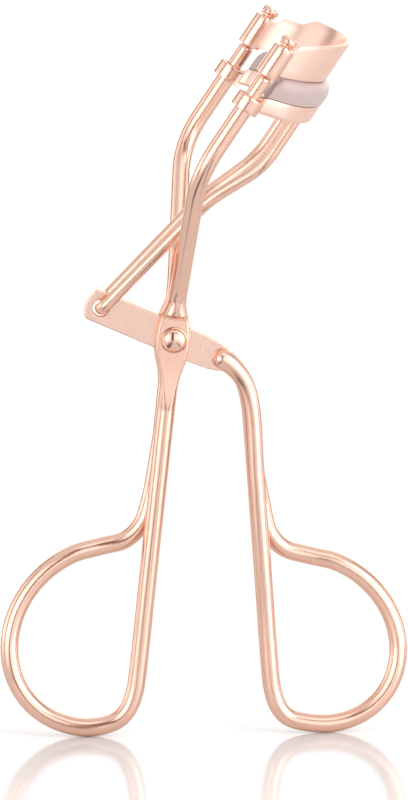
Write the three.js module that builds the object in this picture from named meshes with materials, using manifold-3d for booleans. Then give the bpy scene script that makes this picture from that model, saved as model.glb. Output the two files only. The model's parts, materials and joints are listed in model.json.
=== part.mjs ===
// Eyelash curler: two finger-loop handles on a riveted pivot, a fork with a fixed curved
// jaw at its tips, and a lower jaw with a silicone pad that slides up the fork's posts.
// Millimetres, +X right, +Y away from the front, +Z up along the handles, z = 0 under the loops.
import * as THREE from 'three';
import { mergeVertices } from 'three/addons/utils/BufferGeometryUtils.js';
import Module from 'manifold-3d';

const wasm = await Module();
wasm.setup();

// ---------------------------------------------------------------- driving sizes
// clearances
const GAP = 0.3; // between pieces that touch
const RIVET_CLEARANCE = 0.2; // radial, round the rivet's shank
const SLIDE_CLEARANCE = 0.2; // radial, between a sliding ear and its post
const LINK_CLEARANCE = 0.5; // radial, between the link and the lever's hole
const GROUND_CUT = 0.1; // how far each loop's lowest line is flattened

// wire of the frame and of the lever
const WIRE_D = 2.6;
const LEG_GAP = 0.1; // between a handle's front and rear wire
const PIVOT_X = -4.5;
const PIVOT_Z = 58;

// frame handle and its loop, on the -X side
const FRAME_LEAN = 6.1; // degrees from vertical
const FRAME_LOOP = { offset: 6.0, short: 12.2, long: 13.8, lean: 46 };
const HEEL = [[0, 9], [0.15, 6.4], [0.8, 4], [2.2, 2.3]]; // sideways, height, under each leg
const FRAME_NECK = [[0.25, 39], [0.6, 34.5], [1.5, 30.6], [3.6, 28.3]]; // sideways, height

// lever handle and its loop, on the +X side
const LEVER_LEAN = 4.2;
const LEVER_AXIS_X = 10.15; // where the lever handle's axis meets z = 0
const LEVER_LOOP = { offset: 6.7, short: 11.4, long: 13.0, lean: 42 };
const LEVER_NECK = [[0.25, 38], [0.75, 33.5], [1.5, 29.2], [3.4, 26.8]];

// both loops' rings, from the heel round to the neck
const RING = { first: -92, last: -268, points: 10 };

// pressed leaves at the pivot
const LEAF_T = 1.2;
const LEAF_W = 4.9;
const LEAF_UP = 5.2; // above the pivot
const LEAF_DOWN = 6.8; // below the pivot
const LEAF_LAP = 1.4; // how far the handle's round wire runs up into a leaf
const LEG_RUN = 5; // straight wire below the lap

// rivet
const RIVET_SHANK_R = 1.1;
const RIVET_HEAD_R = 1.9;
const RIVET_HEAD_H = 0.8;

// lever plate
const PLATE_T = 2;
const PLATE_W = 4.6;
const PLATE_END = 2.2; // past the link's hole
const PLATE_CORNER_R = 0.8;
const PLATE_SLOPE = 23.8; // degrees, up towards the link
const LINK_ARM = 11.4; // pivot to the link's hole
const TAIL_ARM = 8.2; // pivot to where the lever's wires start
const TAIL_LAP = 2; // how far the wires run into the plate
const TAIL_TAPER = { length: 3, share: 0.8 }; // the plate's narrower tail
const ELBOW = { drop: 4.4, above: 1.9, below: 1.5, inward: 0.9 }; // the wires' bend under the tail

// head: posts lean forward, and the jaws' frame starts at the barrels' lower rim
const HEAD_X = 7.7;
const HEAD_Z = 98.2;
const HEAD_TILT = 34;
const POST_SPACING = 30;
const FORK_BEND_V = -17; // along the post from the barrels' lower rim
const FORK_BEND_CUT = 4.5; // length rounded off each side of a fork bend
const FORK_START = { forward: 0.35, down: 0.9 }; // inside a leaf's top
const FORK_FOOT = { forward: 0.6, out: 0.35, up: 1.4, cut: 1 }; // first bend above a leaf's top
const POST_D = 2.2;
const POST_STEP_V = -4.7;
const TENON_D = 1.7;
const TIP_D = 1.2;

// upper jaw
const SHEET = 0.6;
const BARREL_D = 3.3;
const BARREL_H = 4.8;
const JAW_DEPTH = 9.3;
const UPPER_EDGE = { low: 0.2, neck: 5.5, high: 6.7, rise: 0.29 }; // heights at the posts, slope
const UPPER_STEP = { from: 4.8, to: 5.6 }; // where the strip's top edge steps up

// post caps
const CAP_D = 2.5;
const CAP_H = 1.35;

// lower jaw, shown closed
const CHANNEL_W = 3.5;
const CHANNEL_END_W = 2.0;
const CHANNEL_WALL = 0.5;
const CHANNEL_U = 2.6; // where the channel ends, forward of the posts
const FLOOR_T = 0.6;
const EAR_LOW = -5.8;
const EAR_HIGH = -3.6;
const LOWER_LOW = { at: -5.7, rise: 0.2 }; // height at the posts, slope
const LOWER_HIGH = { at: -3.3, rise: 0.29 };

// pad
const PAD_TOP_CLEARANCE = 0.3; // under the upper jaw's edge when closed
const PAD_SIDE = 0.4; // share of the crown's height that is upright
const PAD_SHELF = 0.15; // over the channel's walls
const SEAT_CLEARANCE = 0.1; // beside the seat, which is soft

// link
const LINK_D = 1.75;
const LINK_HALF_LOW = 2.35; // half spacing of the legs at the lever
const LINK_HALF_BEND = 3.0; // half spacing at the lower bend
const LINK_HALF_HIGH = 5.1; // half spacing of the legs at the lower jaw
const LINK_RUN = 8.2; // straight down from the lower jaw, along the posts
const LINK_STEP = { back: 7.6, down: 5 }; // from the upper bend to the lower one
const LINK_BEND_CUT = 2.6; // length rounded off each side of a leg's bends
const LINK_CORNER_CUT = 1.3; // and of the two corners at the lever
const LINK_NECK_D = 1.2;
const LINK_HEAD_R = 1.1;
const LINK_HEAD_H = 0.7;
const LINK_HEAD_LIFT = 0.15; // over the channel's floor

// ---------------------------------------------------------------- derived sizes
const wireR = WIRE_D / 2;
const legY = wireR + LEG_GAP / 2;
const leafInner = PLATE_T / 2 + GAP;
const leafY = leafInner + LEAF_T / 2;
const postY = POST_SPACING / 2;
const barrelBoreR = TENON_D / 2 + GAP / 2;
const barrelMidR = (BARREL_D / 2 + barrelBoreR) / 2;
const barrelWall = BARREL_D / 2 - barrelBoreR;
const earBoreR = wireR + SLIDE_CLEARANCE;
const earMidR = earBoreR + SHEET / 2;
const jawHalf = postY - barrelMidR;
const rad = THREE.MathUtils.degToRad;
const pivot = new THREE.Vector3(PIVOT_X, 0, PIVOT_Z);
const plateAngle = rad(180 - PLATE_SLOPE);

// ---------------------------------------------------------------- helpers
const V = (x, y, z) => new THREE.Vector3(x, y, z);

/** A point of the head's frame (forward, across, along the post) in the part's frame. */
function headPoint(u, y, v) {
  return V(u, y, v).applyAxisAngle(V(0, 1, 0), rad(HEAD_TILT)).add(V(HEAD_X, 0, HEAD_Z));
}

function metal(color, roughness = 0.16) {
  return new THREE.MeshStandardMaterial({ color, roughness, metalness: 1 });
}

/** A closed solid from any closed geometry. */
function solid(geometry) {
  const plain = geometry.index ? geometry.toNonIndexed() : geometry;
  plain.deleteAttribute('normal');
  plain.deleteAttribute('uv');
  const merged = mergeVertices(plain, 1e-4);
  return new wasm.Manifold(new wasm.Mesh({
    numProp: 3,
    vertProperties: new Float32Array(merged.attributes.position.array),
    triVerts: new Uint32Array(merged.index.array),
  }));
}

function geometryOf(manifold) {
  const mesh = manifold.getMesh();
  const geometry = new THREE.BufferGeometry();
  geometry.setAttribute('position', new THREE.BufferAttribute(mesh.vertProperties, 3));
  geometry.setIndex(new THREE.BufferAttribute(mesh.triVerts, 1));
  return geometry;
}

function join(...solids) {
  return solids.reduce((all, next) => all.add(next));
}

/** A round wire section with a flat facet on each of its four sides. */
function roundSection(radius, sides = 12) {
  const reach = radius / Math.cos(Math.PI / sides);
  const points = [];
  for (let i = 0; i < sides; i += 1) {
    const angle = ((i + 0.5) / sides) * 2 * Math.PI;
    points.push(new THREE.Vector2(reach * Math.cos(angle), reach * Math.sin(angle)));
  }
  return new THREE.Shape(points);
}

/** A wire along a curve, with a step about every `step` millimetres. */
function wire(path, diameter, step = 2.2, sides = 12) {
  const steps = Math.max(2, Math.round(path.getLength() / step));
  const options = { steps, extrudePath: path, bevelEnabled: false, curveSegments: 1 };
  return new THREE.ExtrudeGeometry(roundSection(diameter / 2, sides), options);
}

/** Straight stretches between points, with `cut` of each rounded off at the corners. */
function cornered(points, cut) {
  const path = new THREE.CurvePath();
  let from = points[0];
  for (let i = 1; i < points.length - 1; i += 1) {
    const corner = points[i];
    const towards = (other) => other.clone().sub(corner).normalize();
    const before = corner.clone().addScaledVector(towards(points[i - 1]), cut[i - 1]);
    const after = corner.clone().addScaledVector(towards(points[i + 1]), cut[i - 1]);
    path.add(new THREE.LineCurve3(from, before));
    path.add(new THREE.QuadraticBezierCurve3(before, corner, after));
    from = after;
  }
  path.add(new THREE.LineCurve3(from, points.at(-1)));
  return path;
}

/** A cylinder whose axis runs between two points. */
function rod(from, to, diameter, sides = 20) {
  const radius = diameter / 2;
  const geometry = new THREE.CylinderGeometry(radius, radius, from.distanceTo(to), sides);
  const turn = new THREE.Quaternion().setFromUnitVectors(V(0, 1, 0), to.clone().sub(from).normalize());
  geometry.applyQuaternion(turn);
  const middle = from.clone().add(to).multiplyScalar(0.5);
  return geometry.translate(middle.x, middle.y, middle.z);
}

/** A flat outline in the XZ plane, `thickness` deep in Y and centred on y. */
function slab(shape, thickness, y) {
  const options = { depth: thickness, bevelEnabled: false, curveSegments: 10 };
  const geometry = new THREE.ExtrudeGeometry(shape, options);
  return geometry.rotateX(Math.PI / 2).translate(0, y + thickness / 2, 0);
}

// ---------------------------------------------------------------- handles
/** Half of a leaning ellipse's height. */
function loopHalfHeight({ short, long, lean }) {
  return Math.hypot(short * Math.cos(rad(lean)), long * Math.sin(rad(lean)));
}

/**
 * The wire of one handle: down the front, round the finger loop and up again behind the
 * front leg. `side` is -1 for a loop on the -X side and 1 for one on the +X side.
 */
function handlePath({ top, axisAt, loop, neck, side }) {
  const centreZ = loopHalfHeight(loop) + wireR - GROUND_CUT;
  const centreX = axisAt(centreZ) + side * loop.offset;
  const points = [];
  const legPoint = (z, sideways, y) => V(axisAt(z) + side * sideways, y, z);
  top.forEach((point) => points.push(V(point.x, -legY, point.z)));
  const legTop = neck[0][1];
  const legBottom = HEEL[0][1];
  [legTop, (legTop + legBottom) / 2].forEach((z) => points.push(legPoint(z, 0, -legY)));
  HEEL.forEach(([sideways, z]) => points.push(legPoint(z, sideways, -legY)));
  const { first, last, points: count } = RING;
  for (let i = 0; i <= count; i += 1) {
    const angle = rad(first + ((last - first) * i) / count);
    const along = loop.long * Math.cos(angle - rad(loop.lean));
    const across = loop.short * Math.sin(angle - rad(loop.lean));
    const dx = along * Math.cos(rad(loop.lean)) - across * Math.sin(rad(loop.lean));
    const dz = along * Math.sin(rad(loop.lean)) + across * Math.cos(rad(loop.lean));
    points.push(V(centreX - side * dx, THREE.MathUtils.lerp(-legY, legY, i / count), centreZ + dz));
  }
  [...neck].reverse().forEach(([sideways, z]) => points.push(legPoint(z, sideways, legY)));
  [...top].reverse().forEach((point) => points.push(V(point.x, legY, point.z)));
  return new THREE.CatmullRomCurve3(points, false, 'centripetal');
}

function leafShape() {
  const half = LEAF_W / 2;
  const shape = new THREE.Shape();
  const bottom = wireR * 0.9;
  shape.moveTo(-wireR, LEAF_UP);
  shape.bezierCurveTo(-half, LEAF_UP * 0.6, -half, 1, -half, -LEAF_DOWN * 0.1);
  shape.bezierCurveTo(-half, -LEAF_DOWN * 0.5, -bottom, -LEAF_DOWN * 0.7, -bottom, -LEAF_DOWN);
  shape.lineTo(bottom, -LEAF_DOWN);
  shape.bezierCurveTo(bottom, -LEAF_DOWN * 0.7, half, -LEAF_DOWN * 0.5, half, -LEAF_DOWN * 0.1);
  shape.bezierCurveTo(half, 1, half, LEAF_UP * 0.6, wireR, LEAF_UP);
  return shape;
}

function frameWire() {
  const axisAt = (z) => PIVOT_X - (PIVOT_Z - z) * Math.tan(rad(FRAME_LEAN));
  const startZ = PIVOT_Z - LEAF_DOWN + LEAF_LAP;
  const runZ = startZ - LEG_RUN;
  const top = [V(axisAt(startZ), 0, startZ), V(axisAt(runZ), 0, runZ)];
  const handle = handlePath({ top, axisAt, loop: FRAME_LOOP, neck: FRAME_NECK, side: -1 });
  let body = solid(wire(handle, WIRE_D));
  [-1, 1].forEach((side) => {
    const leaf = slab(leafShape(), LEAF_T, side * leafY);
    leaf.rotateY(rad(FRAME_LEAN)).translate(PIVOT_X, 0, PIVOT_Z);
    const leafTop = PIVOT_Z + LEAF_UP;
    const route = [
      V(PIVOT_X + FORK_START.forward, side * leafY, leafTop - FORK_START.down),
      V(PIVOT_X + FORK_FOOT.forward, side * (leafY + FORK_FOOT.out), leafTop + FORK_FOOT.up),
      headPoint(0, side * postY, FORK_BEND_V),
      headPoint(0, side * postY, POST_STEP_V),
    ];
    const fork = wire(cornered(route, [FORK_FOOT.cut, FORK_BEND_CUT]), WIRE_D, 1.8);
    const onPost = (v) => headPoint(0, side * postY, v);
    const post = rod(onPost(POST_STEP_V - 1), onPost(-GAP), POST_D);
    const tenon = rod(onPost(-1), onPost(BARREL_H + GAP / 2), TENON_D);
    const tip = rod(onPost(0), onPost(BARREL_H + CAP_H * 0.6), TIP_D);
    body = join(body, solid(leaf), solid(fork), solid(post), solid(tenon), solid(tip));
  });
  const reach = V(0, leafY + LEAF_T, 0);
  const boreD = 2 * (RIVET_SHANK_R + RIVET_CLEARANCE);
  const bore = rod(pivot.clone().sub(reach), pivot.clone().add(reach), boreD);
  return body.subtract(solid(bore)).subtract(belowGround());
}

/** Everything under z = 0, to flatten the loops' lowest lines. */
function belowGround() {
  return solid(new THREE.BoxGeometry(200, 40, 10).translate(0, 0, -5));
}

function lever() {
  const axisAt = (z) => LEVER_AXIS_X - z * Math.tan(rad(LEVER_LEAN));
  const along = V(-Math.cos(plateAngle), 0, -Math.sin(plateAngle));
  const tail = pivot.clone().addScaledVector(along, TAIL_ARM);
  const elbowZ = tail.z - ELBOW.drop;
  const highZ = elbowZ + ELBOW.above;
  const lowZ = elbowZ - ELBOW.below;
  const handle = handlePath({
    top: [
      tail.clone().addScaledVector(along, -TAIL_LAP),
      tail,
      V(axisAt(highZ) - ELBOW.inward, 0, highZ),
      V(axisAt(lowZ), 0, lowZ),
    ],
    axisAt,
    loop: LEVER_LOOP,
    neck: LEVER_NECK,
    side: 1,
  });
  const shape = new THREE.Shape();
  const half = PLATE_W / 2;
  const { length, share } = TAIL_TAPER;
  shape.moveTo(TAIL_ARM, half * share);
  shape.lineTo(TAIL_ARM - length, half);
  const end = -LINK_ARM - PLATE_END;
  const corner = PLATE_CORNER_R;
  shape.lineTo(end + corner, half);
  shape.absarc(end + corner, half - corner, corner, Math.PI / 2, Math.PI, false);
  shape.absarc(end + corner, corner - half, corner, Math.PI, Math.PI * 1.5, false);
  shape.lineTo(TAIL_ARM - length, -half);
  shape.lineTo(TAIL_ARM, -half * share);
  shape.absarc(TAIL_ARM, 0, half * share, -Math.PI / 2, Math.PI / 2, false);
  const holes = [[0, RIVET_SHANK_R + RIVET_CLEARANCE], [-LINK_ARM, LINK_D / 2 + LINK_CLEARANCE]];
  holes.forEach(([x, radius]) => {
    const hole = new THREE.Path();
    hole.absarc(x, 0, radius, 0, 2 * Math.PI, true);
    shape.holes.push(hole);
  });
  const plate = slab(shape, PLATE_T, 0).rotateY(rad(PLATE_SLOPE)).translate(PIVOT_X, 0, PIVOT_Z);
  return join(solid(wire(handle, WIRE_D)), solid(plate)).subtract(belowGround());
}

function pivotRivet() {
  const face = leafY + LEAF_T / 2 + GAP / 2;
  const profile = [[0, -face - RIVET_HEAD_H]];
  for (let i = 1; i <= 6; i += 1) {
    const angle = (i / 6) * (Math.PI / 2);
    const rise = RIVET_HEAD_H * (0.25 + 0.75 * Math.cos(angle));
    profile.push([RIVET_HEAD_R * Math.sin(angle), -face - rise]);
  }
  profile.push([RIVET_HEAD_R, -face], [RIVET_SHANK_R, -face]);
  profile.push([RIVET_SHANK_R, face], [RIVET_HEAD_R, face]);
  profile.push([RIVET_HEAD_R, face + RIVET_HEAD_H * 0.4]);
  profile.push([RIVET_HEAD_R * 0.6, face + RIVET_HEAD_H * 0.8]);
  profile.push([0, face + RIVET_HEAD_H * 0.9]);
  return new THREE.LatheGeometry(profile.map(([r, y]) => new THREE.Vector2(r, y)), 28);
}

// ---------------------------------------------------------------- jaws
/** The jaws' shared plan: half an ellipse bulging forward between the two posts. */
function planPoint(angle, outward = 0) {
  const normal = new THREE.Vector2(Math.cos(angle) / JAW_DEPTH, Math.sin(angle) / jawHalf).normalize();
  return new THREE.Vector2(
    JAW_DEPTH * Math.cos(angle) + outward * normal.x,
    jawHalf * Math.sin(angle) + outward * normal.y,
  );
}

/** A strip of sheet along the plan that wraps round both posts, as a flat outline. */
function wrappedStrip(thickness, bendR) {
  const centre = [];
  const wrap = 290;
  const steps = 14;
  for (let i = 0; i <= steps; i += 1) {
    const angle = rad(-90 - (wrap * (steps - i)) / steps);
    centre.push([bendR * Math.cos(angle), postY + bendR * Math.sin(angle), angle]);
  }
  const inner = postY - bendR;
  const arcSteps = 36;
  const outline = (offset) => {
    const points = centre.map(([u, y, angle]) => {
      return [u - offset * Math.cos(angle), y - offset * Math.sin(angle)];
    });
    const arc = [];
    for (let i = 1; i < arcSteps; i += 1) {
      const angle = rad(90 - (180 * i) / arcSteps);
      const scale = inner / jawHalf;
      const at = planPoint(angle, offset);
      arc.push([at.x, at.y * scale]);
    }
    const mirrored = points.map(([u, y]) => [u, -y]).reverse();
    return [...points, ...arc, ...mirrored];
  };
  const outer = outline(thickness / 2);
  const innerSide = outline(-thickness / 2).reverse();
  return new THREE.Shape([...outer, ...innerSide].map(([u, y]) => new THREE.Vector2(u, y)));
}

/** A flat outline of the head's plan, from one height along the posts to another. */
function prism(shape, low, high) {
  const options = { depth: high - low, bevelEnabled: false, curveSegments: 8 };
  return new THREE.ExtrudeGeometry(shape, options).translate(0, 0, low);
}

/** A side outline (forward, along the post), as wide as the head. */
function sideBlock(points) {
  const shape = new THREE.Shape(points.map(([u, v]) => new THREE.Vector2(u, v)));
  const width = POST_SPACING + 20;
  const options = { depth: width, bevelEnabled: false };
  return new THREE.ExtrudeGeometry(shape, options).rotateX(Math.PI / 2).translate(0, width / 2, 0);
}

function upperJaw() {
  const strip = prism(wrappedStrip(barrelWall, barrelMidR), -4, 20);
  const { neck, high, rise } = UPPER_EDGE;
  const far = JAW_DEPTH + 5;
  const lowStart = BARREL_D / 4;
  const highStart = CAP_D / 2 + GAP;
  const slant = 0.3;
  const { from, to } = UPPER_STEP;
  const side = sideBlock([
    [-5, 0], [lowStart, 0], [lowStart + slant, closingEdge(lowStart + slant)], [far, closingEdge(far)],
    [far, high + rise * far], [to, high + rise * to], [from, neck + rise * from],
    [highStart + slant, neck + rise * (highStart + slant)], [highStart, BARREL_H], [-5, BARREL_H],
  ]);
  return solid(strip).intersect(solid(side));
}

const lowerEdge = (u) => LOWER_LOW.at + LOWER_LOW.rise * u;
const upperEdge = (u) => LOWER_HIGH.at + LOWER_HIGH.rise * u;
const closingEdge = (u) => UPPER_EDGE.low + UPPER_EDGE.rise * u;

/** How wide the lower channel is at a place `u` forward of the posts. */
function channelWidth(u) {
  const share = THREE.MathUtils.smoothstep(u, CHANNEL_U, CHANNEL_U + 3.2);
  return THREE.MathUtils.lerp(CHANNEL_END_W, CHANNEL_W, share);
}

/**
 * Bends a section along the jaws' plan. The section is drawn across (-1 to 1) and up;
 * `place(u, across, up)` gives the sideways offset and the height at a place u.
 */
function bentAlongPlan(section, fromU, steps, place) {
  const end = Math.acos(fromU / JAW_DEPTH);
  const options = { depth: 1, steps, bevelEnabled: false, curveSegments: 8 };
  const geometry = new THREE.ExtrudeGeometry(section, options);
  const position = geometry.attributes.position;
  for (let i = 0; i < position.count; i += 1) {
    const angle = THREE.MathUtils.lerp(-end, end, position.getZ(i));
    const middle = planPoint(angle);
    const { offset, height } = place(middle.x, position.getX(i), position.getY(i));
    const at = planPoint(angle, offset);
    position.setXYZ(i, at.x, at.y, height);
  }
  return geometry;
}

/** Turns a closed geometry right side out if its faces point inwards. */
function outwards(geometry) {
  const position = geometry.attributes.position;
  const [a, b, c] = [V(), V(), V()];
  let volume = 0;
  for (let i = 0; i < position.count; i += 3) {
    a.fromBufferAttribute(position, i);
    b.fromBufferAttribute(position, i + 1);
    c.fromBufferAttribute(position, i + 2);
    volume += a.dot(b.clone().cross(c));
  }
  if (volume >= 0) return geometry;
  for (let i = 0; i < position.count; i += 3) {
    a.fromBufferAttribute(position, i);
    b.fromBufferAttribute(position, i + 1);
    position.setXYZ(i, b.x, b.y, b.z);
    position.setXYZ(i + 1, a.x, a.y, a.z);
  }
  return geometry;
}

function lowerJaw() {
  const inner = 1 - (2 * CHANNEL_WALL) / CHANNEL_W;
  const floorShare = 0.2;
  const section = new THREE.Shape();
  section.moveTo(-1, 0);
  section.lineTo(1, 0);
  section.lineTo(1, 1);
  section.lineTo(inner, 1);
  section.lineTo(inner, floorShare);
  section.lineTo(-inner, floorShare);
  section.lineTo(-inner, 1);
  section.lineTo(-1, 1);
  section.closePath();
  const channel = bentAlongPlan(section, CHANNEL_U, 36, (u, across, up) => {
    const half = channelWidth(u) / 2;
    const sideways = Math.abs(across) < 0.99 ? Math.sign(across) * (half - CHANNEL_WALL) : across * half;
    const low = lowerEdge(u);
    const height = up === floorShare ? low + FLOOR_T : THREE.MathUtils.lerp(low, upperEdge(u), up);
    return { offset: sideways, height };
  });
  const ears = prism(wrappedStrip(SHEET, earMidR), EAR_LOW, EAR_HIGH);
  const keepEars = sideBlock([[-8, -9], [CHANNEL_U + 1, -9], [CHANNEL_U + 1, 0], [-8, 0]]);
  let body = solid(outwards(channel)).add(solid(ears).intersect(solid(keepEars)));
  [-1, 1].forEach((side) => {
    const { x, y, z } = linkTop(side);
    const boreD = LINK_NECK_D + 2 * SLIDE_CLEARANCE;
    const bore = rod(V(x, y, z - 1), V(x, y, z + FLOOR_T + 1), boreD, 16);
    body = body.subtract(solid(bore));
  });
  return body;
}

/** Where a leg of the link meets the underside of the lower jaw, in the head's frame. */
function linkTop(side) {
  const u = JAW_DEPTH * Math.sqrt(1 - (LINK_HALF_HIGH / jawHalf) ** 2);
  return V(u, side * LINK_HALF_HIGH, lowerEdge(u));
}

/** A narrow seat inside the channel under a wider crown that covers the channel's walls. */
function pad() {
  const seat = 0.5;
  const section = new THREE.Shape();
  section.moveTo(-seat, 0);
  section.lineTo(seat, 0);
  section.lineTo(seat, 1);
  section.lineTo(1, 1);
  section.lineTo(1, 1 + PAD_SIDE);
  section.absellipse(0, 1 + PAD_SIDE, 1, 1 - PAD_SIDE, 0, Math.PI, false);
  section.lineTo(-1, 1);
  section.lineTo(-seat, 1);
  section.closePath();
  const clear = LINK_HEAD_H + GAP;
  return outwards(bentAlongPlan(section, CHANNEL_U + 0.4, 36, (u, across, up) => {
    const half = channelWidth(u) / 2;
    const inSeat = up <= 1 && Math.abs(across) < 0.9;
    const seatHalf = half - CHANNEL_WALL - SEAT_CLEARANCE;
    const offset = inSeat ? Math.sign(across) * seatHalf : across * half;
    const low = lowerEdge(u) + FLOOR_T + clear;
    const shelf = upperEdge(u) + PAD_SHELF;
    const high = closingEdge(u) - PAD_TOP_CLEARANCE;
    const { lerp } = THREE.MathUtils;
    const height = up <= 1 ? lerp(low, shelf, up) : lerp(shelf, high, up - 1);
    return { offset, height };
  }));
}

// ---------------------------------------------------------------- link
function linkWire() {
  const hole = pivot.clone().add(V(LINK_ARM * Math.cos(plateAngle), 0, LINK_ARM * Math.sin(plateAngle)));
  const up = V(0, 0, 1).applyAxisAngle(V(0, 1, 0), rad(HEAD_TILT));
  const leg = (side) => {
    const local = linkTop(side);
    const top = headPoint(local.x, local.y, local.z - GAP);
    const upperBend = top.clone().addScaledVector(up, -LINK_RUN);
    const lowerX = upperBend.x - LINK_STEP.back;
    const lowerBend = V(lowerX, side * LINK_HALF_BEND, upperBend.z - LINK_STEP.down);
    return [top, upperBend, lowerBend, V(hole.x, side * LINK_HALF_LOW, hole.z)];
  };
  const route = [...leg(-1), ...leg(1).reverse()];
  const legCuts = [LINK_BEND_CUT, LINK_BEND_CUT, LINK_CORNER_CUT];
  const path = cornered(route, [...legCuts, ...legCuts.toReversed()]);
  let body = solid(wire(path, LINK_D, 1.2));
  [-1, 1].forEach((side) => {
    const { x, y, z } = linkTop(side);
    const neck = rod(headPoint(x, y, z - 1), headPoint(x, y, z + FLOOR_T + GAP), LINK_NECK_D, 16);
    const headLow = z + FLOOR_T + LINK_HEAD_LIFT;
    const headTop = headPoint(x, y, headLow + LINK_HEAD_H);
    const head = rod(headPoint(x, y, headLow), headTop, 2 * LINK_HEAD_R, 16);
    body = join(body, solid(neck), solid(head));
  });
  return body;
}

// ---------------------------------------------------------------- assembly
function named(name, geometry, material) {
  const mesh = new THREE.Mesh(geometry, material);
  mesh.name = name;
  return mesh;
}

const group = new THREE.Group();
const head = new THREE.Group();
head.position.set(HEAD_X, 0, HEAD_Z);
head.rotation.y = rad(HEAD_TILT);
group.add(head);

group.add(named('frame_wire', geometryOf(frameWire()), metal(0xe8b8a0)));
group.add(named('lever', geometryOf(lever()), metal(0xe6b59c)));
group.add(named('link_wire', geometryOf(linkWire()), metal(0xe2b096)));
const rivet = named('pivot_rivet', pivotRivet(), metal(0xf0c8b2));
rivet.position.copy(pivot);
group.add(rivet);

head.add(named('upper_jaw', geometryOf(upperJaw()), metal(0xecbfa8)));
head.add(named('lower_jaw', geometryOf(lowerJaw()), metal(0xe9baa2)));
const silicone = new THREE.MeshStandardMaterial({ color: 0xe0cdcb, roughness: 0.45, metalness: 0 });
head.add(named('pad', pad(), silicone));

['front', 'rear'].forEach((name, index) => {
  const boreR = TIP_D / 2 + GAP / 2;
  const boreTop = CAP_H * 0.75;
  const profile = [
    [boreR, 0],
    [CAP_D / 2, 0],
    [CAP_D / 2, CAP_H * 0.7],
    [CAP_D * 0.38, CAP_H * 0.95],
    [0, CAP_H],
    [0, boreTop],
    [boreR, boreTop],
    [boreR, 0],
  ];
  const cap = new THREE.LatheGeometry(profile.map(([r, y]) => new THREE.Vector2(r, y)), 24);
  cap.rotateX(Math.PI / 2);
  const mesh = named(`post_cap_${name}`, cap, metal(0xeec4ae));
  mesh.position.set(0, index === 0 ? -postY : postY, BARREL_H + GAP);
  head.add(mesh);
});

export default group;
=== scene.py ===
"""Eyelash curler with wire handles, a forked frame, two curved jaws and a silicone pad.

Sizes are in millimetres. The pivot, the head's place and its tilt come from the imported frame.
"""
import json
import logging
import math
from collections.abc import Callable, Sequence
from dataclasses import dataclass
from enum import Enum

import bmesh
import bpy
import numpy as np
from mathutils import Matrix, Vector


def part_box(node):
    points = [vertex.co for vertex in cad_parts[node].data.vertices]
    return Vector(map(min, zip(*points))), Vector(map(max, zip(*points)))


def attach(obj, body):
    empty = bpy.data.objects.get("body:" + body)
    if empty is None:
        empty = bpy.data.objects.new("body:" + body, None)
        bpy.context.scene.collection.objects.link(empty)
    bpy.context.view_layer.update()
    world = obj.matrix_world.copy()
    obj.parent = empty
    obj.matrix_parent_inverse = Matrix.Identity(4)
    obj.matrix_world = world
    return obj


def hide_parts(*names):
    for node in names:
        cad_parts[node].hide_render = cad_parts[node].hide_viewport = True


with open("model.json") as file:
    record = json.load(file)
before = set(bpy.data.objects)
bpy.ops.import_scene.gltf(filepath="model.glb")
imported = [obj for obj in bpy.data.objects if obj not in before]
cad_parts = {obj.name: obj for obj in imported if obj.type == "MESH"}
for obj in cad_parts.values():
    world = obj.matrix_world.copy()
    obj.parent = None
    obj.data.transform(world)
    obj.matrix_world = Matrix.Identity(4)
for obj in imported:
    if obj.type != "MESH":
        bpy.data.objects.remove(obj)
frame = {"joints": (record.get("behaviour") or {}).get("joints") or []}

MM = 0.001
CAP_BASE_V = 5.1
CAP_HEIGHT = 1.35

Pair = tuple[float, float]
Colour = tuple[float, float, float]
MeshData = tuple[list[Vector], list[list[int]]]
Place = Callable[[float, float, float], Vector]
log = logging.getLogger("eyelash_curler")


# ------------------------------------------------------------------ shader maths
class Value:
    """A number socket that Python's operators work on."""

    def __init__(self, book: "Book", socket: bpy.types.NodeSocket) -> None:
        """Keeps the socket and the node book that it belongs to."""
        self.book = book
        self.socket = socket

    def _math(self, operation: str, *others: "Value | float") -> "Value":
        """Adds one Math node on this value and the others."""
        inputs = {i: other for i, other in enumerate(others)}
        return self.book.add("ShaderNodeMath", {"operation": operation}, inputs)

    def __add__(self, other: "Value | float") -> "Value":
        """Sum."""
        return self._math("ADD", self, other)

    __radd__ = __add__

    def __mul__(self, other: "Value | float") -> "Value":
        """Product."""
        return self._math("MULTIPLY", self, other)

    __rmul__ = __mul__

    def __sub__(self, other: "Value | float") -> "Value":
        """Difference."""
        return self._math("SUBTRACT", self, other)

    def __rsub__(self, other: "Value | float") -> "Value":
        """Reflected difference, so that 1 - mask works."""
        return self._math("SUBTRACT", other, self)


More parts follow.
